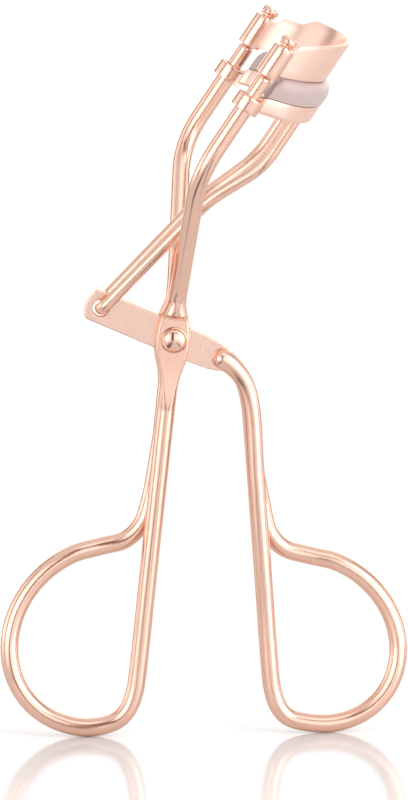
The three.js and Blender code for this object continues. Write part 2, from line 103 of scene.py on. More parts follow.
class Book:
    """The node tree of one material or world, filled through one method."""

    def __init__(self, tree: bpy.types.NodeTree) -> None:
        """Empties the tree."""
        self.tree = tree
        tree.nodes.clear()

    def node(self, kind: str, settings: dict, inputs: dict) -> bpy.types.Node:
        """Adds a node of any type.

        Args:
            kind: the node's type name.
            settings: its attributes, set before the inputs.
            inputs: values or Value links by socket name or number.

        Returns:
            The new node.
        """
        made = self.tree.nodes.new(kind)
        for name, value in settings.items():
            setattr(made, name, value)
        for name, value in inputs.items():
            socket = made.inputs[name]
            if isinstance(value, Value):
                self.tree.links.new(value.socket, socket)
            else:
                socket.default_value = value
        return made

    def add(self, kind: str, settings: dict, inputs: dict, output: int | str = 0) -> Value:
        """Adds a node.

        Args:
            kind: the node's type name.
            settings: its attributes.
            inputs: values or Value links by socket name or number.
            output: which output to return.

        Returns:
            The output as a Value.
        """
        return Value(self, self.node(kind, settings, inputs).outputs[output])

    def place(self, coordinates: str = "Object") -> Value:
        """Where the shaded point is, in the named coordinates."""
        return self.add("ShaderNodeTexCoord", {}, {}, coordinates)

    def noise(self, where: Value, scale: float, detail: float = 2.0) -> Value:
        """Adds a noise of a scale and detail."""
        inputs = {"Vector": where, "Scale": scale, "Detail": detail}
        return self.add("ShaderNodeTexNoise", {}, inputs)

    def blend(self, share: Value, first: Colour, second: Colour) -> Value:
        """Mixes two colours."""
        inputs = {0: share, 6: (*first, 1.0), 7: (*second, 1.0)}
        return self.add("ShaderNodeMix", {"data_type": "RGBA"}, inputs, 2)

    def bump(self, strength: float, distance: float, height: Value) -> Value:
        """Adds a bump of a strength and height in metres."""
        inputs = {"Strength": strength, "Distance": distance, "Height": height}
        return self.add("ShaderNodeBump", {}, inputs)

    def clamped(self, value: Value, factor: float) -> Value:
        """A value times a factor, kept between 0 and 1."""
        settings = {"operation": "MULTIPLY", "use_clamp": True}
        return self.add("ShaderNodeMath", settings, {0: value, 1: factor})

    def surface(self, **inputs: object) -> None:
        """Ends a material with a principled surface; an underscore stands for a space."""
        named = {name.replace("_", " "): value for name, value in inputs.items()}
        shader = self.add("ShaderNodeBsdfPrincipled", {}, named)
        self.node("ShaderNodeOutputMaterial", {}, {"Surface": shader})


def new_material(name: str) -> tuple[bpy.types.Material, Book]:
    """Makes an empty material.

    Args:
        name: the material's name.

    Returns:
        The material and the book of its nodes.
    """
    made = bpy.data.materials.new(name)
    made.use_nodes = True
    return made, Book(made.node_tree)


@dataclass(frozen=True)
class RoseGold:
    """Rose-gold plating, from polished wire to satin sheet.

    The fine lines run round a wire or along a sheet, and the cloud is the slow change in
    gloss that handling leaves.
    """

    name: str
    colour: Colour = (0.88, 0.59, 0.475)
    deep: Colour = (0.84, 0.53, 0.415)
    gloss: float = 0.16
    gloss_change: float = 0.06
    line_depth: float = 0.02
    line_stretch: tuple[float, float, float] = (2600.0, 2600.0, 260.0)
    metal: float = 1.0
    cloud_scale: float = 260.0
    line_height: float = 0.0004
    edge_tint: Colour = (1.0, 0.86, 0.78)

    def material(self) -> bpy.types.Material:
        """Builds the plating's material.

        Returns:
            The material.
        """
        made, book = new_material(self.name)
        where = book.place()
        cloud = book.noise(where, self.cloud_scale, 3.0)
        stretched = book.add("ShaderNodeMapping", {}, {"Vector": where, "Scale": self.line_stretch})
        lines = book.noise(stretched, 1.0)
        colour = book.blend(cloud, self.deep, self.colour)
        rough = self.gloss + (cloud - 0.5) * self.gloss_change + (lines - 0.5) * self.gloss_change
        book.surface(
            Normal=book.bump(self.line_depth, self.line_height, lines),
            Base_Color=colour,
            Metallic=self.metal,
            Roughness=rough,
            Specular_Tint=(*self.edge_tint, 1.0),
        )
        return made


@dataclass(frozen=True)
class Silicone:
    """Milky silicone of the pad, with a fine grain and a slow change in gloss."""

    name: str = "silicone"
    colour: Colour = (0.52, 0.405, 0.39)
    shade: Colour = (0.48, 0.37, 0.35)
    gloss: float = 0.36
    gloss_change: float = 0.12
    cloud_scale: float = 320.0
    grain_scale: float = 5200.0
    grain_depth: float = 0.06
    grain_height: float = 0.0002
    glow: float = 0.25
    glow_reach: Colour = (0.0012, 0.0008, 0.0008)

    def material(self) -> bpy.types.Material:
        """Builds the silicone's material.

        Returns:
            The material.
        """
        made, book = new_material(self.name)
        where = book.place()
        cloud = book.noise(where, self.cloud_scale, 4.0)
        grain = book.noise(where, self.grain_scale)
        book.surface(
            Base_Color=book.blend(cloud, self.shade, self.colour),
            Normal=book.bump(self.grain_depth, self.grain_height, grain),
            Roughness=self.gloss + (cloud - 0.5) * self.gloss_change,
            Subsurface_Weight=self.glow,
            Subsurface_Radius=self.glow_reach,
            Subsurface_Scale=1.0,
        )
        return made


class Finish(Enum):
    """The finishes of the curler's pieces."""

    WIRE = RoseGold("polished_wire", gloss=0.17, line_stretch=(1800.0, 1800.0, 420.0))
    LEVER = RoseGold("lever_metal", gloss=0.2)
    LINK = RoseGold("link_metal", gloss=0.16)
    RIVET = RoseGold("rivet_metal", gloss=0.14, line_depth=0.01)
    PLATE = RoseGold("plate_metal", (0.90, 0.64, 0.54), (0.88, 0.61, 0.51), 0.27, 0.04, 0.004)
    JAW = RoseGold("jaw_metal", (0.95, 0.68, 0.58), (0.93, 0.65, 0.54), 0.3, 0.05, 0.008, metal=0.8)
    BARREL = RoseGold("barrel_metal", (0.89, 0.61, 0.50), (0.86, 0.57, 0.46), 0.19, line_depth=0.01)
    CAP = RoseGold("cap_metal", gloss=0.14, line_depth=0.01)
    PAD = Silicone()


class FinishBox:
    """Makes each finish's material once."""

    def __init__(self) -> None:
        """Starts with no materials."""
        self.made: dict[Finish, bpy.types.Material] = {}

    def get(self, finish: Finish) -> bpy.types.Material:
        """Gives the material of a finish, making it the first time.

        Args:
            finish: the finish.

        Returns:
            Its material.
        """
        if finish not in self.made:
            self.made[finish] = finish.value.material()
        return self.made[finish]


# ------------------------------------------------------------------ layout from the frame
@dataclass
class Layout:
    """Where the pivot, the head and the posts are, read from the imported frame."""

    pivot: Vector
    head: Vector
    tilt: float
    post_y: float

    @classmethod
    def read(cls) -> "Layout":
        """Reads the joints and the post caps' boxes.

        Returns:
            The layout in millimetres.
        """
        joints = {joint["name"]: joint for joint in frame["joints"]}
        pivot = Vector(joints["lever_hinge"]["pos_m"]) / MM
        slide = Vector(joints["jaw_slide"]["axis"]).normalized()
        tilt = math.atan2(-slide.x, -slide.z)
        boxes = [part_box(f"post_cap_{end}") for end in ("front", "rear")]
        centres = [(low + high) / 2 / MM for low, high in boxes]
        middle = (centres[0] + centres[1]) / 2
        head = middle + slide * (CAP_BASE_V + CAP_HEIGHT / 2)
        return cls(pivot, head, tilt, abs(centres[1].y - centres[0].y) / 2)

    def at_head(self, u: float, y: float, v: float) -> Vector:
        """Turns head coordinates into the part's frame.

        Args:
            u: how far forward of the posts.
            y: how far across.
            v: how far up along the posts.

        Returns:
            The point in the part's frame.
        """
        c, s = math.cos(self.tilt), math.sin(self.tilt)
        return Vector((self.head.x + u * c + v * s, y, self.head.z - u * s + v * c))

    def upright(self, u: float, y: float) -> Place:
        """Places turned bodies on a line that is parallel to the posts.

        Args:
            u: how far forward of the posts the line is.
            y: how far across it is.

        Returns:
            A function that puts (x, y, height) round that line into the part's frame.
        """

        def place(x: float, across: float, v: float) -> Vector:
            """Puts one point round the line."""
            return self.at_head(u + x, y + across, v)

        return place

    def from_post(self, point: Vector) -> float:
        """Measures from the nearer post.

        Args:
            point: the point, in the part's frame.

        Returns:
            The distance.
        """
        away = point - self.head
        forward = away.x * math.cos(self.tilt) - away.z * math.sin(self.tilt)
        return math.hypot(forward, abs(point.y) - self.post_y)


# ------------------------------------------------------------------ meshes
def linked(name: str, data: bpy.types.ID) -> bpy.types.Object:
    """Makes an object and puts it in the scene.

    Args:
        name: the object's name.
        data: its mesh, curve, lamp or camera.

    Returns:
        The object, in the scene.
    """
    made = bpy.data.objects.new(name, data)
    bpy.context.collection.objects.link(made)
    return made


def evaluated_mesh(holder: bpy.types.Object) -> bpy.types.Mesh:
    """A new mesh of what an object's curve or modifiers make."""
    graph = bpy.context.evaluated_depsgraph_get()
    return bpy.data.meshes.new_from_object(holder.evaluated_get(graph))


def make_object(
    name: str, points: Sequence[Sequence[float]], faces: Sequence[Sequence[int]]
) -> bpy.types.Object:
    """Makes a mesh object at the origin from points in millimetres.

    Args:
        name: the object's name.
        points: the vertices.
        faces: the faces, as vertex numbers.

    Returns:
        The linked object, smooth with crisp edges, its faces pointing out.
    """
    mesh = bpy.data.meshes.new(name)
    mesh.from_pydata([tuple(c * MM for c in point) for point in points], [], faces)
    mesh.validate()
    close_and_smooth(mesh)
    return linked(name, mesh)


def close_and_smooth(mesh: bpy.types.Mesh, crisp: float = 32.0) -> None:
    """Merges doubles, points the faces out and smooths the mesh.

    Args:
        mesh: the mesh to change.
        crisp: edges that bend more than this many degrees stay sharp.
    """
    work = bmesh.new()
    work.from_mesh(mesh)
    bmesh.ops.remove_doubles(work, verts=work.verts, dist=1e-7)
    bmesh.ops.dissolve_degenerate(work, edges=work.edges, dist=1e-8)
    bmesh.ops.recalc_face_normals(work, faces=work.faces)
    work.to_mesh(mesh)
    work.free()
    mesh.shade_smooth()
    mesh.set_sharp_from_angle(angle=math.radians(crisp))


def skin_rings(rings: Sequence[Sequence[Vector]]) -> MeshData:
    """Joins closed rings of equal length into a tube with closed ends.

    Args:
        rings: the rings in order.

    Returns:
        The points and the faces.
    """
    count = len(rings[0])
    points = [point for ring in rings for point in ring]
    faces: list[list[int]] = []
    for i in range(len(rings) - 1):
        for j in range(count):
            k = (j + 1) % count
            faces.append([i * count + j, i * count + k, (i + 1) * count + k, (i + 1) * count + j])
    faces.append(list(range(count)))
    last = (len(rings) - 1) * count
    faces.append([last + j for j in reversed(range(count))])
    return points, faces


def revolve(profile: Sequence[Pair], place: Place, sides: int = 64) -> MeshData:
    """Turns an open profile that starts and ends on the axis into a closed body.

    Args:
        profile: radius and height pairs.
        place: puts (x, y, height) round the axis into the part's frame.
        sides: how many steps round.

    Returns:
        The points and the faces.
    """
    points: list[Vector] = [place(0.0, 0.0, profile[0][1])]
    inner = profile[1:-1]
    for radius, height in inner:
        for j in range(sides):
            angle = 2 * math.pi * j / sides
            points.append(place(radius * math.cos(angle), radius * math.sin(angle), height))
    points.append(place(0.0, 0.0, profile[-1][1]))
    faces: list[list[int]] = []
    for j in range(sides):
        k = (j + 1) % sides
        faces.append([0, 1 + k, 1 + j])
        for i in range(len(inner) - 1):
            a = 1 + i * sides
            b = a + sides
            faces.append([a + j, a + k, b + k, b + j])
        a = 1 + (len(inner) - 1) * sides
        faces.append([a + j, a + k, len(points) - 1])
    return points, faces


def arc(x: float, y: float, radius: float, first: float, last: float, steps: int) -> list[Pair]:
    """Points of an arc.

    Args:
        x: its centre's first coordinate.
        y: its centre's second coordinate.
        radius: its radius.
        first: the angle that it starts at, in degrees.
        last: the angle that it ends at.
        steps: how many steps it has.

    Returns:
        The points, both ends among them.
    """
    angles = [math.radians(first + (last - first) * i / steps) for i in range(steps + 1)]
    return [(x + radius * math.cos(a), y + radius * math.sin(a)) for a in angles]


def share_between(value: float, start: float, end: float) -> float:
    """How far a value has come from start to end, from 0 to 1."""
    return min(1.0, max(0.0, (value - start) / (end - start)))


def eased(share: float) -> float:
    """A share from 0 to 1 with a soft start and a soft end."""
    return share * share * (3 - 2 * share)


def soft_steps(stops: Sequence[Pair]) -> Callable[[float], float]:
    """A smooth curve through a few stops, flat outside them.

    Args:
        stops: places, rising, and their values.

    Returns:
        The curve as a function of the place.
    """
    x = np.array([stop[0] for stop in stops])
    y = np.array([stop[1] for stop in stops])
    rise = np.diff(y) / np.diff(x)
    slope = np.zeros(len(x))
    for i in range(1, len(x) - 1):
        if rise[i - 1] * rise[i] > 0:
            slope[i] = 2 * rise[i - 1] * rise[i] / (rise[i - 1] + rise[i])

    def value(place: float) -> float:
        """Reads the curve.

        Args:
            place: the place.

        Returns:
            The curve's value there, held past both ends.
        """
        if place <= x[0]:
            return float(y[0])
        if place >= x[-1]:
            return float(y[-1])
        i = int(np.searchsorted(x, place)) - 1
        span = x[i + 1] - x[i]
        t = (place - x[i]) / span
        return float(
            (2 * t**3 - 3 * t**2 + 1) * y[i]
            + (t**3 - 2 * t**2 + t) * span * slope[i]
            + (3 * t**2 - 2 * t**3) * y[i + 1]
            + (t**3 - t**2) * span * slope[i + 1]
        )

    return value


# ------------------------------------------------------------------ wire routes
def through(points: Sequence[Vector], step: float = 0.25) -> list[Vector]:
    """A centripetal Catmull-Rom curve through a few points.

    Args:
        points: the points that it passes through.
        step: about how far apart its own points are.

    Returns:
        The curve's points.
    """
    ends = [points[0] * 2 - points[1], *points, points[-1] * 2 - points[-2]]
    out: list[Vector] = []
    for a, b, c, d in zip(ends, ends[1:], ends[2:], ends[3:]):
        t0 = 0.0
        t1 = t0 + math.sqrt((b - a).length)
        t2 = t1 + math.sqrt((c - b).length)
        t3 = t2 + math.sqrt((d - c).length)
        count = max(2, round((c - b).length / step))
        for i in range(count):
            t = t1 + (t2 - t1) * i / count
            a1 = a.lerp(b, (t - t0) / (t1 - t0))
            a2 = b.lerp(c, (t - t1) / (t2 - t1))
            a3 = c.lerp(d, (t - t2) / (t3 - t2))
            b1 = a1.lerp(a2, (t - t0) / (t2 - t0))
            b2 = a2.lerp(a3, (t - t1) / (t3 - t1))
            out.append(b1.lerp(b2, (t - t1) / (t2 - t1)))
    out.append(points[-1].copy())
    return out


def cornered(points: Sequence[Vector], cuts: Sequence[float], step: float = 0.25) -> list[Vector]:
    """Straight stretches with rounded corners between them.

    Args:
        points: the start, the corners and the end.
        cuts: how far from each corner its rounding starts.
        step: about how far apart the route's own points are.

    Returns:
        The route's points.
    """
    out: list[Vector] = []

    def straight(a: Vector, b: Vector) -> None:
        """Adds the points of a straight stretch."""
        count = max(1, round((b - a).length / step))
        out.extend(a.lerp(b, i / count) for i in range(count))

    start = points[0]
    for before, corner, after, cut in zip(points, points[1:], points[2:], cuts):
        a = corner + (before - corner).normalized() * cut
        b = corner + (after - corner).normalized() * cut
        straight(start, a)
        count = max(6, round(2 * cut / step))
        shares = [i / count for i in range(count)]
        out.extend(a.lerp(corner, t).lerp(corner.lerp(b, t), t) for t in shares)
        start = b
    straight(start, points[-1])
    out.append(points[-1].copy())
    return out


@dataclass
class Station:
    """One place along a wire and how the press has shaped it there.

    Attributes:
        centre: the wire's centre.
        reach: its size against the round wire's.
        wide: its width against its thickness.
        low: the lowest Y that the press leaves.
        high: the highest Y that the press leaves.
    """

    centre: Vector
    reach: float = 1.0
    wide: float = 1.0
    low: float = -99.0
    high: float = 99.0


class PressedWireTree:
    """The Geometry Nodes tree that sweeps a wire and presses it flat where its stations say.

    The route is a mesh of edges whose points carry centre, reach, wide, low and high.
    """

    PRESS_ROUNDING = 0.12
    CRISP = 48.0

    def __init__(self) -> None:
        """Builds the tree with the named inputs Route, Radius, Sides and Finish."""
        self.tree = bpy.data.node_groups.new("pressed_wire", "GeometryNodeTree")
        face = self.tree.interface
        face.new_socket("Route", in_out="INPUT", socket_type="NodeSocketGeometry")
        radius = face.new_socket("Radius", in_out="INPUT", socket_type="NodeSocketFloat")
        sides = face.new_socket("Sides", in_out="INPUT", socket_type="NodeSocketInt")
        finish = face.new_socket("Finish", in_out="INPUT", socket_type="NodeSocketMaterial")
        face.new_socket("Wire", in_out="OUTPUT", socket_type="NodeSocketGeometry")
        self.keys = {"Radius": radius.identifier, "Sides": sides.identifier, "Finish": finish.identifier}
        self._build()

    def _node(
        self, kind: str, settings: dict | None = None, inputs: dict | None = None
    ) -> bpy.types.Node:
        """Adds a node.

        Args:
            kind: the node's type name.
            settings: its attributes, set first.
            inputs: values or output sockets by input name or number.

        Returns:
            The new node.
        """
        made = self.tree.nodes.new(kind)
        for name, value in (settings or {}).items():
            setattr(made, name, value)
        for name, value in (inputs or {}).items():
            if isinstance(value, bpy.types.NodeSocket):
                self.tree.links.new(value, made.inputs[name])
            else:
                made.inputs[name].default_value = value
        return made

    def _attribute(self, name: str, kind: str = "FLOAT") -> bpy.types.NodeSocket:
        """Reads a named attribute of the route."""
        node = self._node("GeometryNodeInputNamedAttribute", {"data_type": kind}, {"Name": name})
        return next(socket for socket in node.outputs if socket.enabled)

    def _maths(self, operation: str, *values: object) -> bpy.types.NodeSocket:
        """Adds a Math node."""
        inputs = dict(enumerate(values))
        return self._node("ShaderNodeMath", {"operation": operation}, inputs).outputs[0]

    def _build(self) -> None:
        """Adds and links the nodes."""
        given = self._node("NodeGroupInput")
        curve = self._node("GeometryNodeMeshToCurve", {}, {"Mesh": given.outputs["Route"]})
        circle = self._node(
            "GeometryNodeCurvePrimitiveCircle",
            {},
            {"Resolution": given.outputs["Sides"], "Radius": given.outputs["Radius"]},
        )
        swept = self._node(
            "GeometryNodeCurveToMesh",
            {},
            {"Curve": curve.outputs[0], "Profile Curve": circle.outputs[0], "Fill Caps": True},
        )
        centre = self._attribute("centre", "FLOAT_VECTOR")
        here = self._node("GeometryNodeInputPosition").outputs[0]
        away = self._node("ShaderNodeVectorMath", {"operation": "SUBTRACT"}, {0: here, 1: centre})
        parts = self._node("ShaderNodeSeparateXYZ", {}, {0: away.outputs[0]})
        middle = self._node("ShaderNodeSeparateXYZ", {}, {0: centre})
        reach = self._attribute("reach")
        flat = self._maths("MULTIPLY", reach, self._attribute("wide"))
        x = self._maths("ADD", middle.outputs[0], self._maths("MULTIPLY", parts.outputs[0], flat))
        z = self._maths("ADD", middle.outputs[2], self._maths("MULTIPLY", parts.outputs[2], flat))
        y = self._maths("ADD", middle.outputs[1], self._maths("MULTIPLY", parts.outputs[1], reach))
        y = self._maths("SMOOTH_MAX", y, self._attribute("low"), self.PRESS_ROUNDING * MM)
        y = self._maths("SMOOTH_MIN", y, self._attribute("high"), self.PRESS_ROUNDING * MM)
        target = self._node("ShaderNodeCombineXYZ", {}, {0: x, 1: y, 2: z})
        pressed = self._node(
            "GeometryNodeSetPosition",
            {},
            {"Geometry": swept.outputs[0], "Position": target.outputs[0]},
        )
        real = self._node("GeometryNodeRealizeInstances", {}, {0: pressed.outputs[0]})
        dressed = self._node(
            "GeometryNodeSetMaterial",
            {},
            {"Geometry": real.outputs[0], "Material": given.outputs["Finish"]},
        )
        self._node("NodeGroupOutput", {}, {0: dressed.outputs[0]})

    def sweep(
        self,
        name: str,
        stations: Sequence[Station],
        radius: float,
        finish: bpy.types.Material,
        sides: int = 64,
    ) -> bpy.types.Object:
        """Sweeps one wire and returns it as a plain mesh object.

        Args:
            name: the piece's name.
            stations: the places along the wire.
            radius: the wire's radius in millimetres.
            finish: its material.
            sides: how many sides its round section has.

        Returns:
            The new piece.
        """
        route = bpy.data.meshes.new(f"{name}_route")
        edges = [(i, i + 1) for i in range(len(stations) - 1)]
        route.from_pydata([station.centre * MM for station in stations], edges, [])
        centres = route.attributes.new("centre", "FLOAT_VECTOR", "POINT")
        centres.data.foreach_set("vector", [c * MM for s in stations for c in s.centre])
        for key, scale in (("reach", 1.0), ("wide", 1.0), ("low", MM), ("high", MM)):
            layer = route.attributes.new(key, "FLOAT", "POINT")
            layer.data.foreach_set("value", [getattr(s, key) * scale for s in stations])
        holder = linked(f"{name}_route", route)
        modifier = holder.modifiers.new("wire", "NODES")
        modifier.node_group = self.tree
        modifier[self.keys["Radius"]] = radius * MM
        modifier[self.keys["Sides"]] = sides
        modifier[self.keys["Finish"]] = finish
        mesh = evaluated_mesh(holder)
        bpy.data.objects.remove(holder)
        mesh.name = name
        close_and_smooth(mesh, self.CRISP)
        return linked(name, mesh)


# ------------------------------------------------------------------ handles
@dataclass
class Loop:
    """A finger loop: a leaning ellipse beside its handle.

    Attributes:
        offset: how far its centre is from the handle's axis.
        short: the ellipse's shorter half axis.
        long: its longer half axis.
        lean: how far the longer axis leans, in degrees.
        neck: where the wire joins the rear leg, as (sideways, height) pairs.
    """

    offset: float
    short: float
    long: float
    lean: float
    neck: tuple[Pair, ...]

    def half_height(self) -> float:
        """Half of the ellipse's height."""
        lean = math.radians(self.lean)
        return math.hypot(self.short * math.cos(lean), self.long * math.sin(lean))

    def point(self, angle: float) -> tuple[float, float]:
        """A point of the loop.

        Args:
            angle: the ellipse's angle in degrees.

        Returns:
            How far towards the leg and how far up from the loop's centre.
        """
        lean = math.radians(self.lean)
        turned = math.radians(angle) - lean
        along, across = self.long * math.cos(turned), self.short * math.sin(turned)
        return (
            along * math.cos(lean) - across * math.sin(lean),
            along * math.sin(lean) + across * math.cos(lean),
        )


@dataclass
class WireHandle:
    """A handle bent from one wire: down the front, round the loop and up behind.

    Attributes:
        side: -1 for a loop on the -X side, 1 for one on the +X side.
        axis_x: where the handle's axis is at z = 0.
        lean: the axis's lean from vertical in degrees, positive when its foot is at -X.
        loop: the finger loop.
        wire_d: the wire's diameter.
        leg_gap: the gap between the front and the rear leg.
        foot_rise: how far the loop's lowest line starts above the ground.
        heel: where the loop leaves the front leg, as (sideways, height) pairs.
        loop_steps: how many steps the loop is given in.
        loop_first: the loop's angle where the heel ends, in degrees.
        loop_last: its angle where the neck starts.
    """

    side: int
    axis_x: float
    lean: float
    loop: Loop
    wire_d: float = 2.6
    leg_gap: float = 0.1
    foot_rise: float = 0.02
    heel: tuple[Pair, ...] = ((0.0, 9.0), (0.15, 6.4), (0.8, 4.0), (2.2, 2.3))
    loop_steps: int = 10
    loop_first: float = -92.0
    loop_last: float = -268.0

    @property
    def leg_y(self) -> float:
        """How far a leg's centre is from the middle plane."""
        return (self.wire_d + self.leg_gap) / 2

    def axis_at(self, z: float) -> float:
        """The handle's axis at a height."""
        return self.axis_x + z * math.tan(math.radians(self.lean))

    def route(self, top: Sequence[Vector]) -> list[Vector]:
        """The wire's points from the front top, round the loop, to the rear top.

        Args:
            top: the points where both legs start, in the middle plane, from the top down.

        Returns:
            The points.
        """
        centre_z = self.loop.half_height() + self.wire_d / 2 + self.foot_rise
        centre_x = self.axis_at(centre_z) + self.side * self.loop.offset
        leg_y = self.leg_y
        points = [Vector((p.x, -leg_y, p.z)) for p in top]

        def leg(sideways: float, z: float, y: float) -> Vector:
            """A point beside the handle's axis."""
            return Vector((self.axis_at(z) + self.side * sideways, y, z))

        high, low = self.loop.neck[0][1], self.heel[0][1]
        points += [leg(0, high, -leg_y), leg(0, (high + low) / 2, -leg_y)]
        points += [leg(sideways, z, -leg_y) for sideways, z in self.heel]
        turn = self.loop_last - self.loop_first
        for i in range(self.loop_steps + 1):
            dx, dz = self.loop.point(self.loop_first + turn * i / self.loop_steps)
            y = leg_y * (2 * i / self.loop_steps - 1)
            points.append(Vector((centre_x - self.side * dx, y, centre_z + dz)))
        points += [leg(sideways, z, leg_y) for sideways, z in reversed(self.loop.neck)]
        points += [Vector((p.x, leg_y, p.z)) for p in reversed(top)]
        return through(points)


@dataclass
class FrameWire:
    """The frame: one wire from the front post, down its handle and back up to the rear post.

    Heights that end in _v are along the posts, above the head's origin. The leaf's own
    heights are along the handle, above the pivot.

    Attributes:
        layout: where the pivot, the head and the posts are.
        leaf_up: how far the leaves reach above the pivot.
        leaf_down: how far they reach below it.
        leaf_inner: how far their inner faces are from the middle plane.
        leaf_t: their thickness.
        bend_v: where a post bends in towards its leaf.
        bend_cut: how far from that bend its rounding starts.
        post_step_v: where the turned-down post starts.
        tenon_v: where the post's thinner top starts.
        tip_v: where the tip under the cap starts.
        end_v: the wire's end.
        post_reach: the post's size against the wire's.
        tenon_reach: the thinner top's.
        tip_reach: the tip's.
        lean: the handle's lean from vertical, in degrees.
        leaf_half_run: how far below the pivot the leaf's middle line is straight.
        leaf_top_run: how far above the pivot it is.
        fork_start: how far above the leaves the arms spread.
        fork_shift: how far forward and outward of the leaf an arm is there.
        leg_start: how far below the leaves the two legs meet.
        leg_lead: how long the legs run straight from there.
        arm_cuts: where the roundings of an arm's other corners start.
        pressed_from: the lowest pressed place.
        pressed_to: the highest one.
        leaf_reach_y: how far from the middle plane the press reaches.
        widths: the leaf's widths by height.
        outer_faces: its outer face's distance from the middle plane by height.
        inner_faces: its inner face's distance by height.
    """

    layout: Layout
    leaf_up: float = 5.2
    leaf_down: float = 6.8
    leaf_inner: float = 1.3
    leaf_t: float = 1.2
    bend_v: float = -17.0
    bend_cut: float = 4.5
    post_step_v: float = -4.7
    tenon_v: float = -0.3
    tip_v: float = 4.95
    end_v: float = 5.6
    post_reach: float = 0.846
    tenon_reach: float = 0.654
    tip_reach: float = 0.46
    lean: float = 6.1
    leaf_half_run: float = 4.0
    leaf_top_run: float = 2.0
    fork_start: float = 1.4
    fork_shift: tuple[float, float] = (0.6, 0.35)
    leg_start: float = 3.4
    leg_lead: float = 4.0
    arm_cuts: tuple[float, ...] = (1.6, 1.0, 1.8)
    pressed_from: float = -10.5
    pressed_to: float = 6.5
    leaf_reach_y: float = 4.0
    widths: tuple[Pair, ...] = (
        (-7.2, 2.6), (-6.0, 2.8), (-4.9, 3.2), (-3.4, 4.1), (-1.5, 4.8),
        (-0.2, 4.9), (1.5, 4.7), (3.3, 3.9), (4.9, 2.9), (5.8, 2.6),
    )
    outer_faces: tuple[Pair, ...] = ((-10.4, 2.68), (-4.5, 2.52), (-3.0, 2.5), (3.3, 2.5), (3.9, 3.4))
    inner_faces: tuple[Pair, ...] = ((-7.4, 0.0), (-5.0, 1.3), (4.2, 1.3), (5.4, 0.4), (6.4, 0.0))

    def handle(self) -> WireHandle:
        """The frame's handle with its loop on the -X side.

        Returns:
            The handle.
        """
        loop = Loop(6.0, 12.2, 13.8, 46.0, ((0.25, 39.0), (0.6, 34.5), (1.5, 30.6), (3.6, 28.3)))
        pivot = self.layout.pivot
        axis_x = pivot.x - pivot.z * math.tan(math.radians(self.lean))
        return WireHandle(-1, axis_x, self.lean, loop)

    def route(self) -> list[Vector]:
        """The whole wire's points.

        Returns:
            The points from the front post to the rear one.
        """
        at, pivot, post_y = self.layout.at_head, self.layout.pivot, self.layout.post_y
        handle = self.handle()
        leaf_y = self.leaf_inner + self.leaf_t / 2
        leaf_foot_z = pivot.z - self.leaf_half_run
        start_z = pivot.z - self.leaf_down - self.leg_start
        top = [Vector((handle.axis_at(z), 0, z)) for z in (start_z, start_z - self.leg_lead)]
        down = handle.route(top)

        def arm(side: int) -> list[Vector]:
            """From a post's tip to just under its leaf.

            Args:
                side: -1 for the front arm, 1 for the rear one.

            Returns:
                The arm's points.
            """
            shift_x, shift_y = self.fork_shift
            fork_z = pivot.z + self.leaf_up + self.fork_start
            points = [
                at(0, side * post_y, self.end_v),
                at(0, side * post_y, self.bend_v),
                Vector((pivot.x + shift_x, side * (leaf_y + shift_y), fork_z)),
                Vector((pivot.x, side * leaf_y, pivot.z + self.leaf_top_run)),
                Vector((handle.axis_at(leaf_foot_z), side * leaf_y, leaf_foot_z)),
                Vector((down[0].x, side * handle.leg_y, down[0].z)),
            ]
            return cornered(points, (self.bend_cut, *self.arm_cuts))

        return [*arm(-1)[:-1], *down, *reversed(arm(1)[:-1])]

    def stations(self) -> list[Station]:
        """The pressed shape along the wire.

        Returns:
            The stations from the front post to the rear one.
        """
        pivot, lean = self.layout.pivot, math.radians(self.lean)
        wire_d = self.handle().wire_d
        up = Vector((math.sin(lean), 0, math.cos(lean)))
        width = soft_steps(self.widths)
        outer_face = soft_steps(self.outer_faces)
        inner_face = soft_steps(self.inner_faces)
        made: list[Station] = []
        for point in thinned(self.route(), pivot):
            station = Station(point)
            v = self.along_post(point)
            if v > self.tip_v:
                station.reach = self.tip_reach
            elif v > self.tenon_v:
                station.reach = self.tenon_reach
            elif v > self.post_step_v:
                station.reach = self.post_reach
            t = (point - pivot).dot(up)
            if self.pressed_from < t < self.pressed_to and abs(point.y) < self.leaf_reach_y:
                station.wide = width(t) / wire_d
                outer, inner = outer_face(t), inner_face(t)
                if point.y < 0:
                    station.low, station.high = -outer, -inner
                else:
                    station.low, station.high = inner, outer
            made.append(station)
        return made

    def along_post(self, point: Vector) -> float:
        """Measures along a post.

        Args:
            point: the point, in the part's frame.

        Returns:
            How far up the post it is, or far below when it isn't on a post.
        """
        near = 0.3
        away = point - self.layout.head
        s, c = math.sin(self.layout.tilt), math.cos(self.layout.tilt)
        forward, across = away.x * c - away.z * s, abs(point.y) - self.layout.post_y
        on_post = abs(forward) < near and abs(across) < near
        return away.x * s + away.z * c if on_post else -99.0

    def build(self, tree: PressedWireTree, finishes: FinishBox) -> bpy.types.Object:
        """Builds the frame's wire.

        Args:
            tree: the tree that sweeps and presses the wire.
            finishes: the finishes' materials.

        Returns:
            The piece.
        """
        radius = self.handle().wire_d / 2
        made = tree.sweep("frame_wire_bent", self.stations(), radius, finishes.get(Finish.WIRE))
        flatten_foot(made)
        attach(made, "frame")
        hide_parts("frame_wire")
        return made


